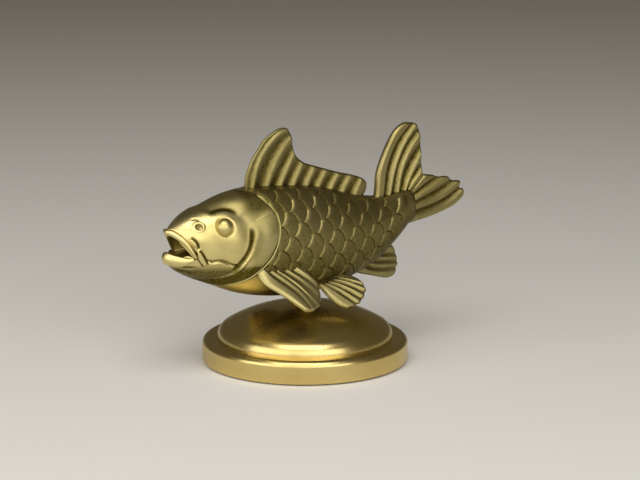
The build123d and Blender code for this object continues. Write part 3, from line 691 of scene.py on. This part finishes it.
def skinPath(name, inset):
    # places on the left side's skin, from the mouth's corner forwards
    x, z = np.array(mouth[name]).T
    return np.stack([x, -np.maximum(bodyHalf(x, z) - inset, mouth["leastHalf"]), z], 1)


def lipPath(name):
    # from the left corner round the front to the right corner
    left = skinPath(name, mouth[name + "Inset"])
    left[-1, 1] = 0
    return smoothCurve(np.concatenate([left, left[-2::-1] * np.array([1, -1, 1])]), mouth["pathCount"])


def lipSize(name):
    # thin at the corners, full at the front
    toFront = 1 - np.abs(np.linspace(-1, 1, mouth["pathCount"]))
    return np.interp(toFront, mouth["sizePlaces"], mouth[name])


upperLip, lowerLip = lipPath("upper"), lipPath("lower")
lipParts = [tubePart(upperLip, lipSize("upperDeep"), lipSize("upperTall")),
            tubePart(lowerLip, lipSize("lowerDeep"), lipSize("lowerTall"))]
foldTaper = np.sin(np.linspace(0, math.pi, mouth["foldCount"])) ** mouth["foldRound"]
foldTaper = mouth["foldTip"] + (1 - mouth["foldTip"]) * foldTaper
for name, (inset, wide, tall, dirtAndShade) in mouth["folds"].items():
    path = smoothCurve(skinPath(name, inset), mouth["foldCount"])
    fold = tubePart(path, wide * foldTaper, tall * foldTaper, dirtAndShade)
    lipParts += [fold, mirrored(fold)]

# the inside of the mouth, a funnel from the lips down to the throat
mouthRim = np.concatenate([upperLip, lowerLip[-2:0:-1]])
funnelShare = np.linspace(0, 1, mouth["funnelRings"])[:, None, None]
funnel = mouthRim[None] * (1 - funnelShare) + np.array(mouth["throat"]) * funnelShare
funnel = funnel + np.array([mouth["funnelBulge"], 0, 0]) * np.sin(math.pi * funnelShare)
# the funnel is painted darker towards the throat: tarnish with painted shade deepening into the mouth
funnelDirtAndShade = mouth["rimDirtAndShade"] + mouth["throatDirtAndShade"] * funnelShare[:, :, 0] ** mouth["throatCurve"]
funnelPart = gridPart(funnel, funnelDirtAndShade, loopColumns=True)

# the gill rim as a patch of its own, so that it stays crisp
rimLine = smoothCurve(headLines["gillRim"], gillRim["lineCount"])
rimOut = unitWay(rimLine) @ np.array([[0, 1], [-1, 0]])
rimShare = np.linspace(0, 1, len(rimLine))
rimTaper = rimFade(rimShare)[:, None]
crisp = smoothCurve(gillRim["profile"], gillRim["profileCount"])
lastOffset, lastLift = gillRim["profile"][-1]
inner = np.linspace(lastOffset, -gillRim["insideReach"], gillRim["insideRows"])[1:]
rimOffset = np.concatenate([crisp[:, 0], inner])
rimX = rimLine[:, :1] + rimOut[:, :1] * rimOffset
rimGirth = rimLine[:, 1:] + rimOut[:, 1:] * rimOffset
rimLift, rimDirtAndShade = headHeight(rimX, rimGirth, False)
crispShare = smoothStep(*gillRim["blend"], rimOffset)
crispLift = np.concatenate([crisp[:, 1], np.full(len(inner), lastLift)])
rimLift = rimLift * (1 - crispShare) + crispLift * crispShare * rimTaper
rimLift = rimLift - gillRim["endSink"] * (1 - rimTaper) * crispShare
rimLift[:, -1] -= gillRim["tuck"]
groovePlace, grooveWidth = gillRim["groove"]
# dirt with painted shade in the groove inside the rim and on its outer foot
grooveDirtAndShade = bell(rimOffset - groovePlace, grooveWidth) + smoothStep(*gillRim["outerDirtAndShade"], rimOffset)
rimDirtAndShade = np.clip(rimDirtAndShade + grooveDirtAndShade * rimTaper, 0, 1)
beadPlace, beadWidth = gillRim["bead"]
rimDirtAndShade = rimDirtAndShade * (1 - gillRim["beadPolish"] * bell(rimOffset - beadPlace, beadWidth))
started = rimShare > gillRim["firstShare"]
rimPart = gridPart(surfacePlace(rimX, rimGirth, rimLift)[started], rimDirtAndShade[started])

makePiece("fishHead", [headPart, *lipParts, funnelPart, rimPart, mirrored(rimPart)], bodyBrass,
          ["fish_body"])
makePiece("fishTrunk", [trunkPart], bodyBrass)
print("head and trunk made")

scales = {
    "pitch": 10.45,         # from one scale to the next in a row
    "rowGap": 4.75,         # from one row to the next
    "rowShift": 0.45,       # how much farther forward each row starts than the one below it
    "rows": range(-5, 6), "numbers": range(-1, 8),
    "radius": 5.2, "firstTip": -16.3, "lastTip": 47.0, "firstGirth": 2.9,
    "stand": 0.62, "groove": 0.05, "rise": 0.75, "tilt": -0.03,
    # the three scales over each one, as steps in pitches and in rows, and how deep it dips behind their rims
    "over": ((-0.5, 1, 1.0), (-0.5, -1, 0.4), (-1, 0, 0.65)),
    "tuck": 0.6, "tuckReach": 0.8, "sunk": 0.25, "pastEdge": -0.6, "hiddenReach": 0.9,
    # share of the radius and how far the rim falls there
    "roundOff": [(0.935, 0.0), (0.955, -0.02), (0.972, -0.07), (0.985, -0.16), (0.994, -0.30), (1.0, -0.6)],
    "rings": 24, "innerRings": (0.16, 0.915), "rays": 60, "hiddenRays": 14, "openAngle": 112,
    "lineDirtAndShade": 1.0, "line": (0.4, 0.12), "rimDirtAndShade": 0.9, "rimFall": (-0.12, -0.3), "highlightBehindRim": 0.75,
    # where the scales end: behind the head, as girth and place along, on the stem, the belly and the back
    "headGirths": [-19, -12, -7, -3, 2, 7, 12, 16, 20],
    "headPlaces": [-22, -24, -24, -22.6, -20.6, -19.9, -20.4, -22.4, -25],
    "headFade": (-1.5, 0.5), "stemFade": (47.0, 43.0), "bellyFade": (-0.80, -0.60), "backFade": (0.93, 0.80),
    # the rows arch upwards along the flank
    "arch": 2.2, "archFrom": -17, "archLength": 65, "archLeast": -0.6,
    "bodyReach": (-61, 47.4),
    # a scale is left out where its row lies past the back or where next to nothing of its tip shows
    "overhang": 2, "tipCheck": 0.5, "leastShown": 0.02,
}


def scaleMask(x, girth):
    # how much the scales show: not on the head, the back's edge, the belly or the stem's end
    share = girth / halfGirth(x)
    behindHead = x - np.interp(girth, scales["headGirths"], scales["headPlaces"])
    return (smoothStep(*scales["headFade"], behindHead) * smoothStep(*scales["stemFade"], x)
            * smoothStep(*scales["bellyFade"], share) * smoothStep(*scales["backFade"], share))


def rowDrift(x):
    turn = math.pi * (x - scales["archFrom"]) / scales["archLength"]
    return scales["arch"] * np.sin(np.clip(turn, scales["archLeast"], math.pi))


def scalePart(tipX, rowGirth, ringShare, angle):
    # one scale, with its tip's place along and its row's girth there
    radius, middleX = scales["radius"], tipX - scales["radius"]
    localX = middleX + radius * ringShare[:, None] * np.cos(angle)
    localGirth = rowGirth + radius * ringShare[:, None] * np.sin(angle)
    # distance behind the rims of the three scales that lie over this one
    edge, dip = np.full(localX.shape, np.inf), np.zeros(localX.shape)
    for stepX, stepRow, depth in scales["over"]:
        overX = middleX + stepX * scales["pitch"] - scales["rowShift"] * stepRow
        overGirth = rowGirth + stepRow * scales["rowGap"] + rowDrift(overX + radius) - rowDrift(tipX)
        behind = np.hypot(localX - overX, localGirth - overGirth) - radius
        dip = np.maximum(dip, depth * np.exp(-np.maximum(behind, 0) / scales["rise"]))
        edge = np.minimum(edge, behind)
    drop = np.interp(ringShare, *zip(*scales["roundOff"]))[:, None]
    lift = scales["stand"] - (scales["stand"] - scales["groove"]) * dip + scales["tilt"] * (localX - middleX)
    lift = lift - scales["tuck"] * smoothStep(0, scales["tuckReach"], -edge) + drop
    mask = scaleMask(localX, localGirth)
    lift = lift * mask - scales["sunk"] * (1 - mask)
    onBody = np.clip(localX, *scales["bodyReach"])
    lift = np.where(np.abs(localGirth) > halfGirth(onBody), scales["pastEdge"], lift)
    # a painted highlight on the slope behind a rim, which takes tarnish and shade off it
    tarnishAndShade = flankTarnishAndShade(onBody, localGirth) * (1 - scales["highlightBehindRim"] * dip ** 2)
    # dirt with painted shade along the rims that lie over this scale and on its own falling edge
    line = scales["lineDirtAndShade"] * smoothStep(*scales["line"], edge)
    line = np.maximum(line, scales["rimDirtAndShade"] * smoothStep(*scales["rimFall"], drop)) * mask
    part = gridPart(surfacePlace(onBody, localGirth, lift), tarnishAndShade + (1 - tarnishAndShade) * line, flip=True)
    # what lies well under the other scales is left out
    shown = (edge.reshape(-1)[part["faces"]] > -scales["hiddenReach"]).any(1)
    return {**part, "faces": part["faces"][shown]}


def scaleParts():
    inner = np.linspace(*scales["innerRings"], scales["rings"] - len(scales["roundOff"]) - 1)
    ringShare = np.concatenate([[0.0], inner, [share for share, fall in scales["roundOff"]]])
    hidden = np.linspace(scales["openAngle"], 180, scales["hiddenRays"])
    shown = np.linspace(-scales["openAngle"], scales["openAngle"], scales["rays"])
    angle = np.radians(np.concatenate([-hidden[:0:-1], shown, hidden[1:]]))
    parts = []
    for row in scales["rows"]:
        for number in scales["numbers"]:
            pitches = number + 0.5 * (row % 2)
            tipX = scales["firstTip"] + scales["pitch"] * pitches - scales["rowShift"] * row
            rowGirth = scales["firstGirth"] + scales["rowGap"] * row + rowDrift(tipX)
            if tipX > scales["lastTip"] or abs(rowGirth) > halfGirth(tipX) + scales["overhang"]:
                continue
            if scaleMask(tipX - scales["tipCheck"], rowGirth) > scales["leastShown"]:
                parts.append(scalePart(tipX, rowGirth, ringShare, angle))
    return parts


leftScales = scaleParts()
makePiece("leftScales", leftScales, bodyBrass)
makePiece("rightScales", [mirrored(part) for part in leftScales], bodyBrass)
print("scales made:", len(leftScales), "a side,", sum(len(part["faces"]) for part in leftScales), "faces")

eye = {"radius": 3.4, "sink": 0.8, "tilt": 18.0, "segments": 64, "lowest": -80, "rings": 40}
eyeX, eyeZ = headRelief["eye"]["place"]
eyeSide = -surfacePlace(eyeX, eyeGirth)[1]
eyeTilt = math.radians(eye["tilt"])
for sideName, side in (("left", -1), ("right", 1)):
    part = lathePart(cornerArc((0, 0), eye["radius"], eye["lowest"], 90, eye["rings"]), eye["segments"])
    outward = Vector((0, side * math.cos(eyeTilt), math.sin(eyeTilt)))
    turn = np.array(outward.to_track_quat("Z", "X").to_matrix())
    middle = np.array([eyeX, side * (eyeSide - eye["sink"]), eyeZ])
    part["corners"] = part["corners"] @ turn.T + middle
    makePiece(sideName + "EyeBead", [part], eyeBrass, [sideName + "_eye"])
print("eyes made")


def edgeRound(distance, reach):
    return np.sqrt(1 - (1 - np.clip(distance / reach, 0, 1)) ** 2)


def fanPart(curves, plane, look):
    # curves run from root to edge: the front contour, each ridge, then the rear contour
    origin, acrossWay, upWay, outWay = [np.array(way, float) for way in plane]
    # points lie closer together towards the edges, so that these come out round
    walk = 1 - (1 - np.linspace(0, 1, look["upCount"])) ** look["crowding"]
    fine = np.linspace(0, 1, look["fineCount"])
    lines = np.stack([smoothCurve(curve, len(fine)) for curve in curves])
    last = len(lines) - 1
    even = np.linspace(0, last, last * look["perStep"] + 1)
    nearEdge = 1 - np.cos(np.radians(np.linspace(0, look["edgeAngle"], look["edgeCount"])))
    place = np.concatenate([even, look["frontReach"] * nearEdge, last - look["rearReach"] * nearEdge])
    place = np.unique(np.round(place, 6))
    fromRear = last - place
    ridge = (0.5 + 0.5 * np.cos(2 * math.pi * place)) ** look["sharp"]
    # the edge is drawn in between the ridges
    wave = np.where((place < 1) | (place > last - 1), 0, 0.5 - 0.5 * np.cos(2 * math.pi * place))
    wave = wave + look["teeth"] * (0.5 - 0.5 * np.cos(2 * math.pi * look["toothCount"] * place))
    flat = np.empty((len(place), len(walk), 2))
    for i, p in enumerate(place):
        k = min(int(p), last - 1)
        t = p - k
        one, two = lines[k], lines[k + 1]
        slopeOne = (two - lines[k - 1]) / 2 if k > 0 else two - one
        slopeTwo = (lines[k + 2] - one) / 2 if k < last - 1 else two - one
        line = (one * (1 + 2 * t) * (1 - t) ** 2 + slopeOne * t * (1 - t) ** 2
                + two * t * t * (3 - 2 * t) + slopeTwo * t * t * (t - 1))
        drawnIn = walk * (1 - look["scallop"] * wave[i])
        flat[i] = np.stack([np.interp(drawnIn, fine, line[:, 0]), np.interp(drawnIn, fine, line[:, 1])], 1)
    # lead and trail say whether the first and the last band are thick like a ridge or flat
    leading = np.where(place < 1, np.maximum(ridge, look["lead"]), ridge)
    ridge = np.where(place < 0.5, look["lead"], leading)
    if look["archEnd"]:
        # the leading band is an arch of its own, with a groove between it and the first ridge
        arch = np.clip(place / look["archEnd"] / look["archTop"], 0, 1) ** look["archRound"]
        arch = arch * smoothStep(look["archEnd"], look["archEnd"] * look["archFall"], place)
        toRidge = smoothStep(look["archEnd"], 1, place)
        others = look["ridgeShare"] * np.where(place < 1, toRidge, ridge)
        ridge = np.where(place < look["archEnd"], arch, others)
    trailing = np.where(fromRear < 1, np.maximum(ridge, look["trail"]), ridge)
    ridge = np.where(fromRear < 0.5, look["trail"], trailing)
    ends = edgeRound(place, look["frontReach"]) * edgeRound(fromRear, look["rearReach"])
    half = look["valleyHalf"] + (look["ridgeHalf"] - look["valleyHalf"]) * ridge
    length = np.linalg.norm(np.diff(flat, axis=1), axis=2)
    length = np.concatenate([np.zeros((len(flat), 1)), np.cumsum(length, 1)], 1)
    rim = edgeRound(length[:, -1:] - length, look["rim"])
    # the ridges grow flatter and thinner towards the edge
    mean = look["valleyHalf"] * (1 - look["flatShare"]) + look["ridgeHalf"] * look["flatShare"]
    flatten = smoothStep(look["flatFrom"], 1.0, walk)[None] * look["tipFlatten"]
    thick = (half[:, None] * (1 - flatten) + mean * flatten) * ends[:, None]
    thick = thick * (1 - look["thin"] * walk[None]) * rim
    middle = origin + flat[..., :1] * acrossWay + flat[..., 1:] * upWay
    if look["offBody"]:
        # near its root the fin lies along the belly instead of running into it
        sunk = bodyHalf(middle[..., 0], middle[..., 2]) + look["offBody"] + middle[..., 1]
        middle[..., 1] -= 0.5 * (sunk + np.sqrt(sunk ** 2 + look["offBodySoft"]))
    outer = middle + thick[..., None] * outWay
    innerSide = middle - thick[..., None] * outWay
    # tarnish over the whole fin, with dirt and painted shade in the valleys between the ridges
    dirtAndShade = look["dirtAndShade"] * ((1 - ridge) ** look["dirtAndShadeSharp"])[:, None] * (1 - flatten)
    dirtAndShade = np.where(((place < 0.5) | (fromRear < 0.5))[:, None], dirtAndShade * look["bandDirtAndShade"], dirtAndShade)
    dirtAndShade = look["tarnishAndShade"] + (1 - look["tarnishAndShade"]) * dirtAndShade
    return gridPart(np.concatenate([outer, innerSide[:, ::-1]], 1), np.concatenate([dirtAndShade, dirtAndShade[:, ::-1]], 1))


def makeFin(name, parts, node):
    makePiece(name, parts, finBrass, [node])


finLook = {
    "perStep": 14, "upCount": 64, "fineCount": 200, "crowding": 1.6, "edgeCount": 8, "edgeAngle": 80,
    "toothCount": 4, "sharp": 0.6, "lead": 1.0, "trail": 1.0,
    "frontReach": 0.5, "rearReach": 0.5, "valleyHalf": 0.6, "ridgeHalf": 1.7, "scallop": 0.0, "teeth": 0.0,
    "rim": 1.2, "flatFrom": 0.75, "flatShare": 0.45, "tipFlatten": 0.4, "thin": 0.2,
    "archEnd": 0.0, "archTop": 0.75, "archRound": 0.8, "archFall": 0.72, "ridgeShare": 0.6,
    "offBody": 0.0, "offBodySoft": 0.5,
    "dirtAndShade": 0.8, "dirtAndShadeSharp": 1.6, "bandDirtAndShade": 0.35, "tarnishAndShade": 0.6,
}
sidePlane = ((0, 0, 0), (1, 0, 0), (0, 0, 1), (0, -1, 0))

dorsalFin = {
    "curves": [
        [(-26.3, 67.0), (-26.9, 70.6), (-26.8, 74.2), (-25.4, 77.9), (-23.6, 81.5), (-21.2, 84.4),
         (-19.2, 87.2), (-15.6, 89.9), (-12.5, 91.5), (-10.2, 91.95)],
        [(-24.4, 66.5), (-23.9, 70.6), (-22.4, 76.5), (-20.0, 81.8), (-16.4, 86.2), (-11.6, 89.9),
         (-7.9, 91.3)],
        [(-18.2, 66.0), (-17.4, 70.2), (-14.2, 77.5), (-10.6, 83.2), (-6.1, 87.8)],
        [(-12.4, 66.0), (-11.4, 70.0), (-8.4, 76.0), (-4.9, 81.8)],
        [(-6.9, 65.6), (-5.5, 69.9), (-3.4, 74.0), (-0.9, 77.9)],
        [(-0.8, 65.0), (0.6, 69.3), (2.4, 72.6), (4.5, 75.9)],
        [(4.6, 64.2), (6.1, 68.3), (7.9, 71.3), (10.0, 74.1)],
        [(10.3, 62.8), (11.9, 66.9), (13.7, 69.8), (15.8, 72.3)],
        [(15.6, 61.0), (17.3, 65.1), (19.2, 68.1), (21.6, 70.8)],
        [(21.2, 59.0), (22.9, 62.9), (24.6, 66.0), (26.4, 69.0)],
        [(25.4, 58.4), (27.1, 62.1), (28.4, 64.4), (28.6, 67.1)],
    ],
    "look": {**finLook, "sharp": 1.3, "lead": 0.0, "frontReach": 0.3, "rearReach": 0.9, "valleyHalf": 0.7,
             "ridgeHalf": 1.7, "rim": 1.0, "tipFlatten": 0.3, "tarnishAndShade": 0.62},
}
makeFin("dorsalFan", [fanPart(dorsalFin["curves"], sidePlane, dorsalFin["look"])], "dorsal_fin")

tailFin = {
    "upper": [
        [(31.6, 58.5), (32.4, 61.5), (32.8, 65.5), (33.3, 69.8), (34.7, 74.0), (36.6, 78.2), (38.9, 82.4),
         (41.3, 85.9), (44.2, 88.2), (46.6, 89.2)],
        [(35.2, 58.5), (35.7, 61.5), (36.4, 69.2), (38.6, 76.5), (43.2, 83.9), (48.9, 89.0)],
        [(38.8, 59.0), (39.4, 62.5), (41.0, 69.8), (43.7, 76.6), (47.4, 82.6), (52.4, 88.0)],
        [(42.8, 60.0), (43.4, 63.7), (44.4, 68.5), (46.1, 73.1), (49.3, 78.2), (54.2, 83.4)],
        [(45.9, 60.0), (47.5, 64.3), (50.3, 69.4), (54.8, 75.8)],
        [(46.0, 59.0), (48.5, 62.6), (51.6, 65.6), (55.4, 69.0)],
        [(47.0, 58.0), (49.6, 61.4), (52.6, 64.4), (56.2, 67.3)],
    ],
    "lower": [
        [(45.0, 58.0), (49.3, 61.4), (52.6, 64.6), (56.0, 67.6)],
        [(45.5, 58.2), (50.0, 60.8), (54.6, 63.8), (60.4, 66.9)],
        [(45.5, 55.2), (50.8, 57.7), (58.1, 60.9), (67.8, 65.6)],
        [(45.5, 52.6), (51.2, 54.3), (57.3, 55.8), (64.6, 57.9), (74.2, 63.1)],
        [(46.0, 49.9), (51.7, 50.9), (58.6, 51.9), (65.6, 53.7), (71.0, 56.0), (76.0, 59.6)],
        [(46.5, 48.0), (53.9, 49.2), (58.3, 49.9), (63.3, 51.0), (68.3, 52.4), (72.7, 54.3), (76.1, 57.0)],
    ],
    "look": {**finLook, "sharp": 1.0, "valleyHalf": 0.5, "ridgeHalf": 1.75, "scallop": 0.05, "rim": 1.1,
             "tipFlatten": 0.2, "dirtAndShade": 0.95, "tarnishAndShade": 0.55},
}
makeFin(
    "tailFan",
    [fanPart(tailFin["upper"], sidePlane, {**tailFin["look"], "scallop": 0.0}),
     fanPart(tailFin["lower"], sidePlane, {**tailFin["look"], "sharp": 0.8})],
    "tail_fin",
)

analFin = {
    "curves": [
        [(36.0, 44.5), (40.2, 41.2), (41.4, 40.0), (42.0, 38.9)],
        [(32.0, 42.0), (35.9, 38.9), (39.4, 38.5), (42.5, 38.1)],
        [(28.0, 40.0), (32.5, 36.9), (38.0, 35.8), (43.5, 35.3)],
        [(25.0, 38.0), (29.5, 34.7), (36.2, 33.0), (43.8, 32.5)],
        [(21.5, 37.0), (26.5, 33.0), (34.0, 30.4), (43.0, 29.8)],
        [(18.5, 35.0), (23.0, 31.9), (28.7, 30.0), (35.5, 28.1), (39.9, 27.5), (42.0, 28.2)],
    ],
    "look": {**finLook, "sharp": 0.8, "valleyHalf": 0.55, "ridgeHalf": 1.2, "scallop": 0.02, "rim": 0.9},
}
makeFin("analFan", [fanPart(analFin["curves"], sidePlane, analFin["look"])], "anal_fin")

pectoralFin = {
    "plane": ((-25.7, -11.0, 41.2), (1, 0, 0), (0, 0.648, 0.761), (0, -0.762, 0.649)),
    "curves": [
        [(-4.5, 4.0), (-3.4, -2.0), (-2.2, -6.5), (1.2, -10.2), (4.9, -13.8), (7.8, -17.2), (10.4, -20.2)],
        [(-0.8, 4.0), (1.0, 0.2), (4.6, -4.2), (8.5, -8.6), (11.6, -13.2), (13.9, -20.4)],
        [(2.0, 4.0), (3.7, -0.2), (8.9, -6.0), (13.2, -11.8), (17.0, -18.9)],
        [(6.0, 4.0), (7.9, -0.4), (12.4, -5.4), (16.2, -9.8), (19.3, -14.8)],
        [(10.0, 4.0), (11.7, -0.9), (14.9, -4.4), (17.8, -7.8), (20.0, -11.2)],
        [(13.0, 4.5), (14.6, 0.2), (16.4, -2.2), (18.0, -5.0), (19.7, -8.3)],
    ],
    "look": {**finLook, "sharp": 1.1, "valleyHalf": 0.7, "ridgeHalf": 1.65, "frontReach": 0.3,
             "archEnd": 0.72, "scallop": 0.015, "rim": 1.3, "flatFrom": 0.15, "tipFlatten": 0.9,
             "thin": 0.1, "tarnishAndShade": 0.35},
}
pectoralPart = fanPart(pectoralFin["curves"], pectoralFin["plane"], pectoralFin["look"])
makeFin("leftPectoralFan", [pectoralPart], "left_pectoral_fin")
makeFin("rightPectoralFan", [mirrored(pectoralPart)], "right_pectoral_fin")

pelvicFin = {
    "plane": ((1.9, -8.5, 31.1), (0.98, -0.143, 0.14), (0, 0.699, 0.715), (-0.2, -0.70, 0.685)),
    "curves": [
        [(-1.6, 0.4), (-0.6, -2.6), (0.1, -5.2), (1.4, -8.0), (3.0, -10.4), (5.8, -12.6)],
        [(-1.6, 0.8), (0.8, -1.7), (4.4, -6.4), (8.6, -12.6)],
        [(-1.4, 1.2), (1.6, -0.7), (6.4, -5.0), (11.6, -11.8)],
        [(-1.2, 1.5), (2.2, 0.2), (8.0, -3.4), (14.2, -9.8)],
        [(-1.0, 1.8), (3.0, 0.9), (9.4, -1.8), (16.2, -7.2)],
        [(-0.9, 2.1), (3.6, 1.6), (10.0, -0.4), (16.3, -4.2)],
        [(-0.8, 2.4), (2.2, 2.5), (5.6, 2.7), (9.4, 2.2), (12.6, 0.8), (15.0, -1.4)],
    ],
    "look": {**finLook, "sharp": 0.9, "perStep": 28, "valleyHalf": 0.6, "ridgeHalf": 1.2, "scallop": 0.02,
             "teeth": 0.02, "rim": 0.8, "flatFrom": 0.5, "tipFlatten": 0.6, "rearReach": 1.2, "trail": 0.4,
             "offBody": 0.5},
}
pelvicPart = fanPart(pelvicFin["curves"], pelvicFin["plane"], pelvicFin["look"])
makeFin("leftPelvicFan", [pelvicPart], "left_pelvic_fin")
makeFin("rightPelvicFan", [mirrored(pelvicPart)], "right_pelvic_fin")
print("fins made")

base = {
    "radius": 40.0, "height": 9.4, "footRound": 1.2, "topRound": 2.4, "underside": 0.4, "segments": 256,
    "topRoundRings": 16, "boreRadius": 2.2, "rebateRadius": 37.4, "rebateDepth": 0.8,
    "topRings": (35.5, 33.8, 33.0),   # radii on the flat top, in under the dome's edge
    "domeRadius": 34.2, "domeRise": 13.6, "knuckle": 6.0, "knuckleRings": 26, "crownRings": 60,
}
rebateTop = base["underside"] + base["rebateDepth"]
discProfile = [(base["boreRadius"], rebateTop), (base["rebateRadius"], rebateTop),
               (base["rebateRadius"], base["underside"])]
discProfile += cornerArc(
    (base["radius"] - base["footRound"], base["underside"] + base["footRound"]), base["footRound"], -90, 0)
discProfile += cornerArc((base["radius"] - base["topRound"], base["height"] - base["topRound"]),
                         base["topRound"], 0, 90, base["topRoundRings"])
discProfile += [(radius, base["height"]) for radius in base["topRings"]]
makePiece("plinthDisc", [lathePart(discProfile, base["segments"])], baseBrass, ["base_disc"])

crownRadius = ((base["domeRadius"] - base["knuckle"]) ** 2 + base["domeRise"] ** 2 - base["knuckle"] ** 2) / (
    2 * (base["domeRise"] - base["knuckle"]))
domeTop = base["height"] + base["domeRise"]
crownMiddle = domeTop - crownRadius
knuckleAngle = math.degrees(math.atan2(base["height"] - crownMiddle, base["domeRadius"] - base["knuckle"]))
domeProfile = cornerArc((base["domeRadius"] - base["knuckle"], base["height"]),
                        base["knuckle"], 0, knuckleAngle, base["knuckleRings"])
domeProfile += cornerArc((0, crownMiddle), crownRadius, knuckleAngle, 90, base["crownRings"])[1:]
makePiece("crownedDome", [lathePart(domeProfile, base["segments"])], baseBrass, ["base_dome"])

post = {
    "foot": 6.2, "waist": 4.5, "head": 5.2, "bottom": 22.5, "step": 23.5, "waistHeight": 25.2, "top": 31.0,
    "rings": 24, "segments": 96,
}
postLine = smoothCurve(
    [(post["foot"], post["step"]), (post["waist"], post["waistHeight"]), (post["head"], post["top"])],
    post["rings"],
)
postProfile = [(0.0, post["bottom"]), (post["foot"], post["bottom"])] + postLine.tolist()
makePiece("waistedPost", [lathePart(postProfile, post["segments"])], baseBrass,
          ["support_post"])
print("base made")

steel = newMaterial("platedSteel", {
    "shader": {"Metallic": 1.0},
    "tone": {"Cloud size": 300.0, "Bright": (0.62, 0.62, 0.60, 1), "Deep": (0.42, 0.42, 0.42, 1),
             "Gloss low": 0.28, "Gloss high": 0.45},
    "grain": {"Grain size": 4000.0},
    "bump": {"Strength": 0.2, "Distance": 0.00005},
})
felt = newMaterial("greenFelt", {
    "shader": {"Sheen Weight": 0.5, "Sheen Roughness": 0.6},
    "tone": {"Cloud size": 700.0, "Bright": (0.030, 0.085, 0.045, 1), "Deep": (0.015, 0.045, 0.025, 1),
             "Gloss low": 0.9, "Gloss high": 1.0},
    "grain": {"Grain size": 1800.0, "Pit share": 0.5},
    "bump": {"Strength": 0.9, "Distance": 0.0003},
})
finishes["felt_pad"] = felt
for nodeName in ("mounting_stud", "stud_washer", "stud_nut", "locating_pin"):
    finishes[nodeName] = steel
for nodeName, finish in finishes.items():
    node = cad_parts[nodeName]
    if not node.material_slots:
        node.data.materials.append(finish)
    for materialSlot in node.material_slots:
        materialSlot.link = "OBJECT"
        materialSlot.material = finish
print("felt and hardware finished")

studio = {
    "floorSize": 6.0, "floorTone": (0.80, 0.79, 0.77, 1), "floorRoughness": 0.9, "floorShine": 0.2,
    "azimuth": -33.4, "elevation": 12.03, "distance": 0.8, "lens": 116.7, "sensor": 36.0,
    "nearest": 0.01, "farthest": 20.0,
    "aimAcross": 0.00584, "aimHeight": 0.04725,
    "worldTone": (1.0, 0.87, 0.64, 1), "worldStrength": 0.1,
    # name, place, aim, width, height, power, colour
    "lamps": [
        ("leftPanel", (-0.98, -0.21, 0.38), (0, 0, 0.10), 1.15, 0.7, 5.0, (1.0, 0.98, 0.94)),
        ("rightPanel", (-0.23, -0.97, 0.38), (0, 0, 0.10), 1.25, 0.7, 5.4, (1.0, 0.98, 0.94)),
        ("upperPanel", (-0.32, -0.42, 0.97), (0, 0, 0.05), 1.0, 0.6, 6.5, (1.0, 0.98, 0.95)),
    ],
}
bpy.ops.mesh.primitive_plane_add(size=studio["floorSize"], location=(0, 0, 0))
floor = bpy.context.object
floor.name = "studioFloor"
floorPaint = bpy.data.materials.new("palePaper")
floorPaint.use_nodes = True
floorShader = floorPaint.node_tree.nodes["Principled BSDF"]
floorShader.inputs["Base Color"].default_value = studio["floorTone"]
floorShader.inputs["Roughness"].default_value = studio["floorRoughness"]
floorShader.inputs["Specular IOR Level"].default_value = studio["floorShine"]
floor.data.materials.append(floorPaint)

world = bpy.data.worlds.new("softStudio")
bpy.context.scene.world = world
world.use_nodes = True
world.node_tree.nodes["Background"].inputs["Color"].default_value = studio["worldTone"]
world.node_tree.nodes["Background"].inputs["Strength"].default_value = studio["worldStrength"]

for name, place, aim, width, height, power, colour in studio["lamps"]:
    lamp = bpy.data.lights.new(name, "AREA")
    lamp.shape, lamp.size, lamp.size_y = "RECTANGLE", width, height
    lamp.energy, lamp.color = power, colour
    lampObject = bpy.data.objects.new(name, lamp)
    bpy.context.scene.collection.objects.link(lampObject)
    lampObject.location = place
    lampObject.rotation_euler = (Vector(aim) - Vector(place)).to_track_quat("-Z", "Y").to_euler()

# the photo's angle
azimuth, elevation = math.radians(studio["azimuth"]), math.radians(studio["elevation"])
rightWay = Vector((math.cos(azimuth), math.sin(azimuth), 0))
backWay = Vector((
    math.sin(azimuth) * math.cos(elevation), -math.cos(azimuth) * math.cos(elevation), math.sin(elevation)))
target = rightWay * studio["aimAcross"] + Vector((0, 0, studio["aimHeight"]))
camera = bpy.data.cameras.new("photoCamera")
camera.lens = studio["lens"]
camera.sensor_width = studio["sensor"]
camera.clip_start, camera.clip_end = studio["nearest"], studio["farthest"]
cameraObject = bpy.data.objects.new("photoCamera", camera)
bpy.context.scene.collection.objects.link(cameraObject)
cameraObject.location = target + backWay * studio["distance"]
cameraObject.rotation_euler = (-backWay).to_track_quat("-Z", "Y").to_euler()
bpy.context.scene.camera = cameraObject
bpy.context.scene.view_settings.view_transform = "Standard"
print("studio made")
